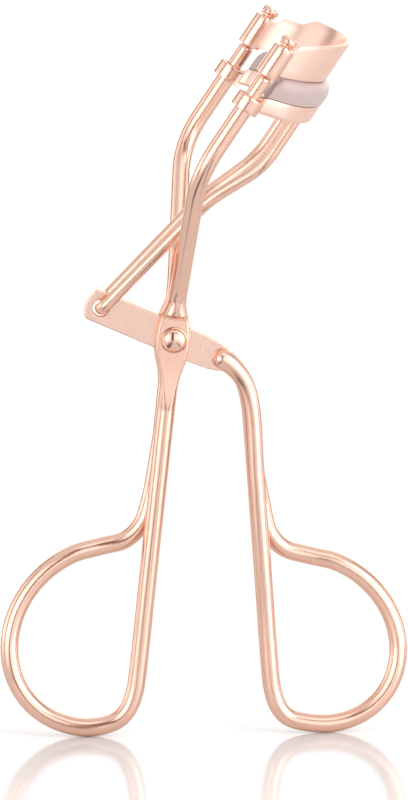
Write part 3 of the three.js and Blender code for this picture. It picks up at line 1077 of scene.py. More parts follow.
def thinned(points: Sequence[Vector], pivot: Vector) -> list[Vector]:
    """Keeps close points where a wire is pressed or bent and fewer where it runs straight.

    Args:
        points: the wire's points.
        pivot: the pivot, round which the wire is pressed.

    Returns:
        The points that are kept.
    """
    pressed_r, posts_z, straight = 16, 88, 0.002
    pressed_gap, bend_gap, straight_gap = 0.24, 0.6, 2.0
    kept = [points[0]]
    for before, point, after in zip(points, points[1:], points[2:]):
        gap = (point - kept[-1]).length
        bend = (point - before).angle(after - point, 0.0)
        pressed = (point - pivot).length < pressed_r or point.z > posts_z
        needed = pressed_gap if pressed else bend_gap if bend > straight else straight_gap
        if gap >= needed:
            kept.append(point)
    kept.append(points[-1])
    return kept


def flatten_foot(piece: bpy.types.Object) -> None:
    """Presses a loop's lowest line onto the ground plane."""
    for vertex in piece.data.vertices:
        vertex.co.z = max(vertex.co.z, 0.0)


@dataclass
class Lever:
    """The lever: its plate, and the handle wire that is forged into the plate's tail.

    Attributes:
        layout: where the pivot is.
        slope: how far the plate falls towards the handle, in degrees.
        link_arm: from the pivot to the link's hole.
        tail_arm: from the pivot to the corner where the wire turns down.
        plate_t: the plate's thickness.
        plate_w: its width.
        plate_end: how far it runs on past the link's hole.
        corner_r: its end's corner radius.
        rivet_hole_r: the pivot hole's radius.
        link_hole_r: the link hole's radius.
        edge_r: the radius of its softened edges.
        end_bulge: how far its end bulges out.
        side_place: a place on its straight sides, along it from the pivot.
        tail_from: where its straight sides end and the tail's taper starts.
        tail_first: the taper's first drawn place.
        tail_run: how far the taper is drawn.
        tail_halves: the taper's half widths, as shares of the plate's.
        tail_end: the tail's end and its half width.
        crisp: edges that bend more than this many degrees stay sharp.
        nose: how long the wire's rounded nose is.
        nose_lap: how far the wire's start laps back over the tail.
        nose_tip: how blunt the nose is.
        elbow_drop: how far below the corner the elbow's level is.
        elbow_up: how far above that level the wire bends.
        elbow_in: how far inside the handle's axis it is there.
        elbow_down: how far below that level it is on the axis.
        swell_reach: how far from the pivot the wire is widened.
        swell_drop: how far below the pivot it is widened.
        swell: its width against its thickness there, by distance from the pivot.
        lean: the handle's lean from vertical, in degrees.
        axis_x: where the handle's axis is at z = 0.
    """

    layout: Layout
    slope: float = 23.8
    link_arm: float = 11.4
    tail_arm: float = 8.2
    plate_t: float = 2.0
    plate_w: float = 4.6
    plate_end: float = 2.2
    corner_r: float = 0.8
    rivet_hole_r: float = 1.3
    link_hole_r: float = 1.22
    edge_r: float = 0.18
    end_bulge: float = 0.35
    side_place: float = -4.0
    tail_from: float = 2.0
    tail_first: float = 2.6
    tail_run: float = 6.7
    tail_halves: tuple[Pair, ...] = ((2.0, 1.0), (4.2, 0.98), (6.3, 0.92), (8.2, 0.74))
    tail_end: Pair = (9.3, 0.9)
    crisp: float = 9.5
    nose: float = 1.5
    nose_lap: float = 2.0
    nose_tip: float = 0.02
    elbow_drop: float = 4.4
    elbow_up: float = 1.9
    elbow_in: float = 0.9
    elbow_down: float = 1.5
    swell_reach: float = 12.4
    swell_drop: float = 14.0
    swell: tuple[Pair, ...] = ((6.2, 1.12), (8.0, 1.12), (10.0, 1.04), (12.0, 1.0))
    lean: float = 4.2
    axis_x: float = 10.15

    def out(self) -> Vector:
        """The plate's direction, from the pivot towards the handle."""
        slope = math.radians(self.slope)
        return Vector((math.cos(slope), 0, -math.sin(slope)))

    def handle(self) -> WireHandle:
        """The lever's handle with its loop on the +X side."""
        loop = Loop(6.7, 11.4, 13.0, 42.0, ((0.25, 38.0), (0.75, 33.5), (1.5, 29.2), (3.4, 26.8)))
        return WireHandle(1, self.axis_x, -self.lean, loop)

    def stations(self) -> list[Station]:
        """The pressed shape along the lever's wire.

        Returns:
            The stations from the front leg round to the rear one.
        """
        out, pivot, handle = self.out(), self.layout.pivot, self.handle()
        tail = pivot + out * self.tail_arm
        bend_z = tail.z - self.elbow_drop + self.elbow_up
        below_z = tail.z - self.elbow_drop - self.elbow_down
        bend = Vector((handle.axis_at(bend_z) - self.elbow_in, 0, bend_z))
        below = Vector((handle.axis_at(below_z), 0, below_z))
        route = handle.route([tail - out * self.nose_lap, tail, bend, below])
        width = soft_steps(self.swell)
        nose_end = self.tail_arm - self.nose_lap + self.nose
        made: list[Station] = []
        for point in thinned(route, pivot):
            station = Station(point)
            arm = (point - pivot).dot(out)
            if arm < self.swell_reach and point.z > pivot.z - self.swell_drop:
                station.wide = width(arm)
                short = max(0.0, (nose_end - arm) / self.nose)
                station.reach = math.sqrt(max(self.nose_tip, 1 - short * short))
            made.append(station)
        return made

    def outline(self) -> list[Pair]:
        """The plate's outline: a bulged end with round corners, straight sides and the tail.

        Returns:
            (along, across) pairs from the pivot.
        """
        half, r, bulge = self.plate_w / 2, self.corner_r, self.end_bulge
        end = -self.link_arm - self.plate_end
        end_steps, tail_steps = 12, 20
        body = arc(end + r + bulge, half - r, r, 90, 180, 12)
        for i in range(1, end_steps):
            place = 1 - 2 * i / end_steps
            body.append((end + bulge * place**2, (half - r) * place))
        body += arc(end + r + bulge, r - half, r, 180, 270, 12)
        body += [(self.side_place, -half), (self.tail_from, -half)]
        tail = soft_steps([*((x, half * share) for x, share in self.tail_halves), self.tail_end])
        places = [self.tail_first + self.tail_run * i / tail_steps for i in range(tail_steps + 1)]
        body += [(x, -tail(x)) for x in places]
        body += [(x, tail(x)) for x in reversed(places)]
        return [*body, (self.tail_from, half), (self.side_place, half)]

    def plate(self, finishes: FinishBox) -> bpy.types.Object:
        """Builds the plate with softened edges, its pivot hole and the link's hole.

        Args:
            finishes: the finishes' materials.

        Returns:
            The piece.
        """
        shape = bpy.data.curves.new("lever_plate", "CURVE")
        shape.dimensions = "2D"
        shape.fill_mode = "BOTH"
        shape.extrude = (self.plate_t / 2 - self.edge_r) * MM
        shape.bevel_depth = self.edge_r * MM
        shape.bevel_resolution = 3
        shape.offset = -self.edge_r * MM
        rivet_hole = arc(0, 0, self.rivet_hole_r, 0, 352.5, 47)
        link_hole = arc(-self.link_arm, 0, self.link_hole_r, 0, 352.5, 47)
        for points in (self.outline(), rivet_hole, link_hole):
            line = shape.splines.new("POLY")
            line.points.add(len(points) - 1)
            for target, (x, y) in zip(line.points, points):
                target.co = (x * MM, y * MM, 0, 1)
            line.use_cyclic_u = True
        holder = linked("lever_plate_outline", shape)
        mesh = evaluated_mesh(holder)
        bpy.data.objects.remove(holder)
        turn = Matrix.Rotation(math.radians(self.slope), 4, "Y") @ Matrix.Rotation(math.pi / 2, 4, "X")
        mesh.transform(Matrix.Translation(self.layout.pivot * MM) @ turn)
        close_and_smooth(mesh, self.crisp)
        mesh.materials.clear()
        mesh.materials.append(finishes.get(Finish.PLATE))
        return linked("lever_plate", mesh)

    def build(self, tree: PressedWireTree, finishes: FinishBox) -> list[bpy.types.Object]:
        """Builds the plate and the wire.

        Args:
            tree: the tree that sweeps and presses the wire.
            finishes: the finishes' materials.

        Returns:
            The two pieces.
        """
        plate = self.plate(finishes)
        radius = self.handle().wire_d / 2
        wire = tree.sweep("lever_wire", self.stations(), radius, finishes.get(Finish.LEVER))
        flatten_foot(wire)
        for piece in (plate, wire):
            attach(piece, "lever")
            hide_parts("lever")
        return [plate, wire]


# ------------------------------------------------------------------ jaws
@dataclass
class JawPlan:
    """The jaws' shared plan, half an ellipse bulging forward between the posts."""

    post_y: float
    depth: float = 9.3
    barrel_mid_r: float = 1.325

    @property
    def half(self) -> float:
        """The ellipse's half width."""
        return self.post_y - self.barrel_mid_r

    def point(self, angle: float, outward: float = 0.0) -> tuple[float, float]:
        """A place on the plan.

        Args:
            angle: the ellipse's angle in radians, 0 at the tip.
            outward: how far outside the ellipse it is.

        Returns:
            How far forward and across it is.
        """
        nu, ny = math.cos(angle) / self.depth, math.sin(angle) / self.half
        length = math.hypot(nu, ny)
        return (
            self.depth * math.cos(angle) + outward * nu / length,
            self.half * math.sin(angle) + outward * ny / length,
        )

    def strip(
        self, bend_r: float, wrap: float = 290.0, turns: int = 40, arcs: int = 120
    ) -> list[tuple[float, float, float, float, bool]]:
        """Stations of a strip that wraps round both posts.

        Args:
            bend_r: the middle radius of the wrapped ends.
            wrap: how far each end wraps, in degrees.
            turns: steps round a post.
            arcs: steps along the plan.

        Returns:
            (u, y, normal u, normal y, wrapped) for each station, from rear to front.
        """
        rear = []
        for i in range(turns + 1):
            angle = math.radians(-90 - wrap * (turns - i) / turns)
            c, s = math.cos(angle), math.sin(angle)
            rear.append((bend_r * c, self.post_y + bend_r * s, -c, -s, True))
        squeeze = (self.post_y - bend_r) / self.half
        middle = []
        for i in range(1, arcs):
            angle = math.pi / 2 - math.pi * i / arcs
            u, y = self.point(angle)
            u2, y2 = self.point(angle, 1.0)
            middle.append((u, y * squeeze, u2 - u, y2 - y, False))
        front = [(u, -y, nu, -ny, wrapped) for u, y, nu, ny, wrapped in reversed(rear)]
        return [*rear, *middle, *front]


def rounded_section(half_t: float, low: float, high: float, r: float, rows: int = 6) -> list[Pair]:
    """A sheet's section with softened corners.

    Args:
        half_t: half of the sheet's thickness.
        low: its lower edge.
        high: its upper edge.
        r: its corners' radius.
        rows: how many steps each face has.

    Returns:
        (sideways, height) pairs, anticlockwise.
    """
    bottom, top, side = low + r, high - r, half_t - r
    right_face = [(half_t, bottom + (top - bottom) * i / rows) for i in range(1, rows)]
    left_face = [(-half_t, y) for _, y in reversed(right_face)]
    return [
        *arc(side, bottom, r, -90, 0, 3),
        *right_face,
        *arc(side, top, r, 0, 90, 3),
        *arc(-side, top, r, 90, 180, 3),
        *left_face,
        *arc(-side, bottom, r, 180, 270, 3),
    ]


@dataclass
class UpperJaw:
    """The fixed jaw: a pressed strip with a barrel rolled at each end.

    Attributes:
        sheet: the strip's thickness.
        barrel_h: the barrels' height.
        low: the lower edge's height where it would meet the posts.
        neck: the upper edge's height there, before the step.
        high: the upper edge's height there, past the step.
        rise: how fast both edges rise forward of the posts.
        corner: the sheet's corner radius.
        low_run: where the lower edge leaves the barrel and where it is straight.
        high_run: the same for the upper edge.
        step_run: where the rear half's step starts and ends.
    """

    layout: Layout
    plan: JawPlan
    sheet: float = 0.65
    barrel_h: float = 4.8
    low: float = 0.2
    neck: float = 5.5
    high: float = 6.7
    rise: float = 0.34
    corner: float = 0.1
    low_run: Pair = (0.7, 1.5)
    high_run: Pair = (1.2, 2.2)
    step_run: Pair = (4.3, 6.0)

    def edges(self, u: float, wrapped: bool, front: bool = False) -> tuple[float, float]:
        """The strip's lower and upper edge at a place forward of the posts.

        Args:
            u: how far forward of the posts.
            wrapped: whether the strip is rolled round a post there.
            front: whether it is the front half, whose upper edge rises evenly.

        Returns:
            The two heights along the posts.
        """
        if wrapped:
            return 0.0, self.barrel_h
        low_end, high_end = self.low_run[1], self.high_run[1]
        low, high = self.low + self.rise * u, self.neck + self.rise * u
        if u < low_end:
            low = (self.low + self.rise * low_end) * eased(share_between(u, *self.low_run))
        if u < high_end:
            climb = self.neck + self.rise * high_end - self.barrel_h
            high = self.barrel_h + climb * eased(share_between(u, *self.high_run))
        elif front:
            high += (self.high - self.neck) * share_between(u, high_end, self.plan.depth)
        else:
            high += (self.high - self.neck) * eased(share_between(u, *self.step_run))
        return low, high

    def build(self, finishes: FinishBox) -> bpy.types.Object:
        """Builds the strip as one closed sheet, polished where it is rolled into a barrel.

        Args:
            finishes: the finishes' materials.

        Returns:
            The piece.
        """
        rings = []
        for u, y, nu, ny, wrapped in self.plan.strip(self.plan.barrel_mid_r):
            low, high = self.edges(u, wrapped, y < 0)
            section = rounded_section(self.sheet / 2, low, high, self.corner)
            rings.append([self.layout.at_head(u + nu * a, y + ny * a, v) for a, v in section])
        made = make_object("upper_jaw_strip", *skin_rings(rings))
        made.data.materials.append(finishes.get(Finish.JAW))
        made.data.materials.append(finishes.get(Finish.BARREL))
        rolled = self.plan.barrel_mid_r + self.sheet / 2 + 0.02
        for face in made.data.polygons:
            if self.layout.from_post(face.center / MM) < rolled:
                face.material_index = 1
        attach(made, "frame")
        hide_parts("upper_jaw")
        return made


@dataclass
class LowerJaw:
    """The sliding jaw: a channel for the pad and two ears that wrap round the posts.

    The channel is solid where it grows out of an ear and opens a little further on.

    Attributes:
        layout: where the posts are.
        plan: the jaws' plan.
        width: the channel's full width.
        end_width: its width where it grows out of an ear.
        wall: its walls' thickness.
        root_u: how far forward of the posts it starts to grow out of the ear.
        start_u: how far forward it is fully grown.
        floor: its floor's thickness.
        ear_low: the ears' lower edge.
        ear_high: their upper edge.
        ear_sheet: their thickness.
        ear_mid_r: the radius of their middle line round a post.
        ear_corner: their corners' radius.
        low: the channel's lower edge at the posts, and its rise forward.
        high: the same for its upper edge.
        widen_run: how far forward of start_u it reaches its full width.
        rim_r: the radius of the walls' rims.
        keel_r: the radius of the keel's corners.
        open_from: where it starts to open, from start_u.
        open_run: how far on from there it is fully open.
        closed_gap: the half width of the closed part's groove, which keeps the section whole.
        closed_dip: how deep that groove is.
    """

    layout: Layout
    plan: JawPlan
    width: float = 3.5
    end_width: float = 2.0
    wall: float = 0.5
    root_u: float = 1.0
    start_u: float = 2.0
    floor: float = 0.6
    ear_low: float = -5.8
    ear_high: float = -3.6
    ear_sheet: float = 0.6
    ear_mid_r: float = 1.8
    ear_corner: float = 0.12
    low: Pair = (-5.7, 0.26)
    high: Pair = (-3.3, 0.34)
    widen_run: float = 3.2
    rim_r: float = 0.1
    keel_r: float = 0.9
    open_from: float = -0.3
    open_run: float = 0.5
    closed_gap: float = 0.02
    closed_dip: float = 0.12

    def root(self, u: float) -> float:
        """How far the channel has grown out of its ear, from 0 to 1."""
        return eased(share_between(u, self.root_u, self.start_u))

    def lower(self, u: float) -> float:
        """The channel's lower edge."""
        grown = self.root(u)
        return self.ear_low * (1 - grown) + (self.low[0] + self.low[1] * u) * grown

    def upper(self, u: float) -> float:
        """The channel's upper edge."""
        grown = self.root(u)
        return self.ear_high * (1 - grown) + (self.high[0] + self.high[1] * u) * grown

    def half_width(self, u: float) -> float:
        """The channel's half width.

        Args:
            u: how far forward of the posts it is.

        Returns:
            Half of the width.
        """
        widened = eased(share_between(u, self.start_u, self.start_u + self.widen_run))
        full = (self.end_width + (self.width - self.end_width) * widened) / 2
        return self.ear_sheet / 2 + (full - self.ear_sheet / 2) * self.root(u)

    def bent(
        self, start_u: float, section: Callable[[float], list[Pair]], steps: int
    ) -> list[list[Vector]]:
        """Rings of a section bent along the plan.

        Args:
            start_u: where it starts and ends, forward of the posts.
            section: (outward, height) pairs at a place.
            steps: how many rings.

        Returns:
            The rings.
        """
        end = math.acos(start_u / self.plan.depth)
        rings = []
        for i in range(steps + 1):
            angle = -end + 2 * end * i / steps
            u, _ = self.plan.point(angle)
            ring = []
            for outward, v in section(u):
                pu, py = self.plan.point(angle, outward)
                ring.append(self.layout.at_head(pu, py, v))
            rings.append(ring)
        return rings

    def channel_section(self, u: float) -> list[Pair]:
        """The channel's section with a rounded keel and softened rims.

        Args:
            u: how far forward of the posts it is.

        Returns:
            (sideways, height) pairs, anticlockwise.
        """
        half, low, high = self.half_width(u), self.lower(u), self.upper(u)
        start = self.start_u + self.open_from
        opened = share_between(u, start, start + self.open_run)
        r, keel = self.rim_r, min(self.keel_r, half * 0.5)
        shut = max(self.closed_gap, half - 2 * r - self.closed_gap)
        inner = shut * (1 - opened) + (half - self.wall) * opened
        floor = (high - self.closed_dip) * (1 - opened) + (low + self.floor) * opened
        return [
            *arc(half - keel, low + keel, keel, -90, 0, 6),
            *arc(half - r, high - r, r, 0, 90, 3),
            *arc(inner + r, high - r, r, 90, 180, 3),
            (inner, floor),
            (-inner, floor),
            *arc(-inner - r, high - r, r, 0, 90, 3),
            *arc(r - half, high - r, r, 90, 180, 3),
            *arc(keel - half, low + keel, keel, 180, 270, 6),
        ]

    def build(self, finishes: FinishBox) -> list[bpy.types.Object]:
        """Builds the channel and the two ears.

        Args:
            finishes: the finishes' materials.

        Returns:
            The three pieces, the channel first.
        """
        rings = self.bent(self.root_u, self.channel_section, 220)
        channel = make_object("lower_jaw_channel", *skin_rings(rings))
        pieces = [channel]
        section = rounded_section(self.ear_sheet / 2, self.ear_low, self.ear_high, self.ear_corner)
        for name, side in (("rear", 1), ("front", -1)):
            rings = []
            for u, y, nu, ny, wrapped in self.plan.strip(self.ear_mid_r):
                if y * side > 0 and (wrapped or u < self.start_u):
                    rings.append([self.layout.at_head(u + nu * a, y + ny * a, v) for a, v in section])
            pieces.append(make_object(f"lower_jaw_ear_{name}", *skin_rings(rings)))
        for piece in pieces:
            finish = Finish.JAW if piece is channel else Finish.BARREL
            piece.data.materials.append(finishes.get(finish))
            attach(piece, "carriage")
            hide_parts("lower_jaw")
        return pieces


@dataclass
class Pad:
    """The silicone pad, seated in the lower jaw with a rounded crown above it.

    Attributes:
        jaw: the lower jaw.
        upper: the upper jaw.
        start_u: how far forward of the posts the pad starts.
        seat_clear: the seat's height above the channel's floor.
        shelf: the shelf's height above the walls.
        press: how far the crown is below the upper jaw's straight lower edge.
        bulge: how far the crown's sides swell out.
        seat_gap: the gap between the seat and a wall.
        shelf_in: how far inside the pad's side the shelf's edge is.
        shelf_rise: how far the side starts above the shelf.
        crown_foot: how far above the shelf the crown starts.
        fade_run: how far forward of its end the crown is full.
        end_share: the crown's share that is left at its end.
    """

    jaw: LowerJaw
    upper: UpperJaw
    start_u: float = 1.9
    seat_clear: float = 1.0
    shelf: float = 0.06
    press: float = 0.18
    bulge: float = 0.12
    seat_gap: float = 0.08
    shelf_in: float = 0.15
    shelf_rise: float = 0.12
    crown_foot: float = 0.3
    fade_run: float = 0.7
    end_share: float = 0.6

    def section(self, u: float) -> list[Pair]:
        """The pad's section: a seat, a shelf over the walls and a domed crown.

        Args:
            u: how far forward of the posts it is.

        Returns:
            (sideways, height) pairs, anticlockwise.
        """
        half = self.jaw.half_width(u)
        seat = half - self.jaw.wall - self.seat_gap
        low = self.jaw.lower(u) + self.jaw.floor + self.seat_clear
        shelf = self.jaw.upper(u) + self.shelf
        high = self.upper.low + self.upper.rise * u - self.press
        fade = min(1.0, max(0.05, (u - self.start_u + 0.05) / self.fade_run)) ** 0.5
        crown = (high - shelf) * (self.end_share + (1 - self.end_share) * fade)
        foot, rim, inset = shelf + self.crown_foot, shelf + self.shelf_rise, half - self.shelf_in
        points = [(-seat, low), (seat, low), (seat, shelf), (inset, shelf), (half, rim)]
        steps = 24
        for i in range(steps + 1):
            angle = math.pi * i / steps
            side = math.copysign(abs(math.cos(angle)) ** 0.6, math.cos(angle))
            rise = abs(math.sin(angle)) ** 0.75
            swell = self.bulge * math.sin(math.pi * min(1.0, rise)) if 2 * i != steps else 0.0
            across = side * half + math.copysign(swell, side)
            points.append((across, foot + (crown - self.crown_foot) * rise))
        return [*points, (-half, rim), (-inset, shelf), (-seat, shelf)]

    def build(self, finishes: FinishBox) -> bpy.types.Object:
        """Builds the pad.

        Args:
            finishes: the finishes' materials.

        Returns:
            The piece.
        """
        rings = self.jaw.bent(self.start_u, self.section, 180)
        made = make_object("silicone_pad", *skin_rings(rings))
        made.data.materials.append(finishes.get(Finish.PAD))
        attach(made, "carriage")
        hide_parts("pad")
        return made


# ------------------------------------------------------------------ link
@dataclass
class Link:
    """The U-shaped link between the lever plate and the lower jaw.

    Attributes:
        layout: where the pivot and the head are.
        lever: the lever, which holds the link's lower end.
        jaw: the lower jaw, which holds its two headed ends.
        wire_d: the wire's diameter.
        half_low: half of the link's width in the lever's hole.
        half_bend: half of its width at its bends.
        half_high: half of its width at the jaw.
        neck_d: the diameter of the necks through the jaw's floor.
        neck_clear: the clearance round a neck.
        neck_run: how far below the jaw a neck starts.
        head_r: the heads' radius.
        head_h: their height.
        head_gap: the gap between a head and the jaw's floor.
        top_gap: the gap between the wire's end and the jaw.
        straight_run: how far the legs run down along the posts.
        back_run: how far back they go from there.
        down_run: how far down they go with that.
        sides: how many sides the wire's round section has.
        cuts: how far from a leg's three corners their roundings start.
    """

    layout: Layout
    lever: Lever
    jaw: LowerJaw
    wire_d: float = 1.75
    half_low: float = 2.35
    half_bend: float = 3.0
    half_high: float = 5.1
    neck_d: float = 1.2
    neck_clear: float = 0.2
    neck_run: float = 0.9
    head_r: float = 1.1
    head_h: float = 0.7
    head_gap: float = 0.15
    top_gap: float = 0.3
    straight_run: float = 8.2
    back_run: float = 7.6
    down_run: float = 5.0
    sides: int = 28
    cuts: tuple[float, ...] = (2.6, 2.6, 1.3)

    def top(self, side: int) -> tuple[float, float, float]:
        """Where a leg meets the lower jaw's underside.

        Args:
            side: -1 for the front leg, 1 for the rear one.

        Returns:
            How far forward, across and up the place is, in the head's frame.
        """
        plan = self.jaw.plan
        u = plan.depth * math.sqrt(1 - (self.half_high / plan.half) ** 2)
        return u, side * self.half_high, self.jaw.lower(u)

    def bore(self, channel: bpy.types.Object) -> None:
        """Cuts the two holes for the link's necks through the channel's floor.

        Args:
            channel: the lower jaw's channel, whose mesh is replaced.
        """
        radius = self.neck_d / 2 + self.neck_clear
        cutters = []
        for side in (-1, 1):
            u, y, v = self.top(side)
            low, high = v - 1, v + self.jaw.floor + 0.5
            profile = [(0, low), (radius, low), (radius, high), (0, high)]
            cutter = make_object("neck_bore", *revolve(profile, self.layout.upright(u, y), 24))
            cut = channel.modifiers.new("bore", "BOOLEAN")
            cut.operation = "DIFFERENCE"
            cut.solver = "EXACT"
            cut.object = cutter
            cutters.append(cutter)
        mesh = evaluated_mesh(channel)
        channel.modifiers.clear()
        channel.data = mesh
        for cutter in cutters:
            bpy.data.objects.remove(cutter)

    def leg(self, side: int) -> list[Vector]:
        """A leg's corners.

        Args:
            side: -1 for the front leg, 1 for the rear one.

        Returns:
            The corners from the jaw down to the lever's hole.
        """
        u, y, v = self.top(side)
        tilt = self.layout.tilt
        top = self.layout.at_head(u, y, v - self.top_gap)
        upper = top - Vector((math.sin(tilt), 0, math.cos(tilt))) * self.straight_run
        lower = Vector((upper.x - self.back_run, side * self.half_bend, upper.z - self.down_run))
        hole = self.layout.pivot - self.lever.out() * self.lever.link_arm
        return [top, upper, lower, Vector((hole.x, side * self.half_low, hole.z))]

    def build(self, tree: PressedWireTree, finishes: FinishBox) -> list[bpy.types.Object]:
        """Builds the wire and the two headed ends.

        Args:
            tree: the tree that sweeps and presses the wire.
            finishes: the finishes' materials.

        Returns:
            The three pieces.
        """
        corners = [*self.leg(-1), *reversed(self.leg(1))]
        route = cornered(corners, (*self.cuts, *reversed(self.cuts)))
        stations = [Station(point) for point in route]
        metal = finishes.get(Finish.LINK)
        wire = tree.sweep("link_wire_bent", stations, self.wire_d / 2, metal, self.sides)
        pieces = [wire]
        neck_r, head_r, head_h = self.neck_d / 2, self.head_r, self.head_h
        for name, side in (("front", -1), ("rear", 1)):
            u, y, v = self.top(side)
            foot, head = v - self.neck_run, v + self.jaw.floor + self.head_gap
            profile = [
                (0, foot),
                (neck_r, foot),
                (neck_r, head),
                (head_r - 0.1, head),
                (head_r, head + 0.12),
                (head_r * 0.92, head + head_h * 0.6),
                (head_r * 0.6, head + head_h * 0.92),
                (0, head + head_h),
            ]
            turned = revolve(profile, self.layout.upright(u, y), 32)
            stud = make_object(f"link_head_{name}", *turned)
            stud.data.materials.append(metal)
            pieces.append(stud)
        for piece in pieces:
            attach(piece, "link")
            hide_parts("link_wire")
        return pieces


# ------------------------------------------------------------------ small parts
@dataclass
class PivotRivet:
    """The domed rivet through the leaves and the lever plate.

    The flange and the staked head are (radius, rise) pairs, as shares of the head's.
    """

    layout: Layout
    face: float = 2.65
    head_r: float = 1.9
    head_h: float = 0.8
    shank_r: float = 1.1
    dome_share: float = 0.86
    dome_angle: float = 84.0
    flange: tuple[Pair, ...] = ((0.89, 0.16), (0.94, 0.3), (0.99, 0.28), (1.0, 0.18))
    staked: tuple[Pair, ...] = (
        (1.0, 0.2), (0.9, 0.5), (0.6, 0.75), (0.35, 0.8), (0.2, 0.6), (0.0, 0.55),
    )

    def build(self, finishes: FinishBox) -> bpy.types.Object:
        """Builds the rivet with a flanged dome in front and a staked head behind.

        Args:
            finishes: the finishes' materials.

        Returns:
            The piece.
        """
        r, h = self.head_r, self.head_h
        pivot = self.layout.pivot
        steps = 12
        dome = [(0.0, 1.0)]
        for i in range(1, steps + 1):
            angle = math.radians(self.dome_angle * i / steps)
            dome.append((self.dome_share * math.sin(angle), 0.2 + 0.8 * math.cos(angle)))
        front = [*dome, *self.flange, (1.0, 0.0), (self.shank_r / r, 0.0)]
        rear = [(self.shank_r / r, 0.0), (1.0, 0.0), *self.staked]
        profile = [(x * r, -self.face - rise * h) for x, rise in front]
        profile += [(x * r, self.face + rise * h) for x, rise in rear]

        def place(x: float, z: float, y: float) -> Vector:
            """Puts a point on the rivet's axis, front to back."""
            return Vector((pivot.x + x, y, pivot.z + z))

        made = make_object("pivot_rivet_headed", *revolve(profile, place, 72))
        made.data.materials.append(finishes.get(Finish.RIVET))
        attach(made, "frame")
        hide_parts("pivot_rivet")
        return made


@dataclass
class PostCap:
    """A cap staked on a post's tip: a waisted button with a cross staked into its crown.

    The waist is (share of the radius, height) pairs, and the crown's heights are shares too.
    """

    layout: Layout
    base_v: float = CAP_BASE_V
    height: float = CAP_HEIGHT
    radius: float = 1.25
    slot_depth: float = 0.28
    slot_width: float = 0.28
    crown_share: float = 0.85
    waist: tuple[Pair, ...] = (
        (0.0, 0.0), (0.82, 0.0), (0.92, 0.06), (0.94, 0.22), (0.8, 0.34), (0.82, 0.42), (1.0, 0.52),
    )
    crown: tuple[Pair, ...] = ((1.0, 0.68), (0.96, 0.8), (0.86, 0.9), (0.7, 0.96))

    def build(self, end: str, finishes: FinishBox) -> bpy.types.Object:
        """Builds one of the two caps.

        Args:
            end: "front" or "rear".
            finishes: the finishes' materials.

        Returns:
            The piece.
        """
        side = -1 if end == "front" else 1
        r, h = self.radius, self.height
        profile = [(r * share, v) for share, v in self.waist]
        profile += [(r * share, h * rise) for share, rise in self.crown]
        profile += [(r * ring, h * (1 - 0.04 * ring)) for ring in (0.6, 0.5, 0.4, 0.3, 0.2, 0.1)]
        profile.append((0.0, h))

        def place(x: float, y: float, v: float) -> Vector:
            """Puts a point on the post.

            Args:
                x: how far forward of the post's axis.
                y: how far across from it.
                v: how far up from the cap's base.

            Returns:
                The point in the part's frame, with the cross pressed into the crown.
            """
            across = min(abs(x), abs(y))
            if v > h * self.crown_share:
                v -= self.slot_depth * max(0.0, 1 - (across / self.slot_width) ** 2)
            return self.layout.at_head(x, side * self.layout.post_y + y, self.base_v + v)

        made = make_object(f"post_cap_{end}_staked", *revolve(profile, place, 64))
        made.data.materials.append(finishes.get(Finish.CAP))
        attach(made, "frame")
        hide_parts(f"post_cap_{end}")
        return made


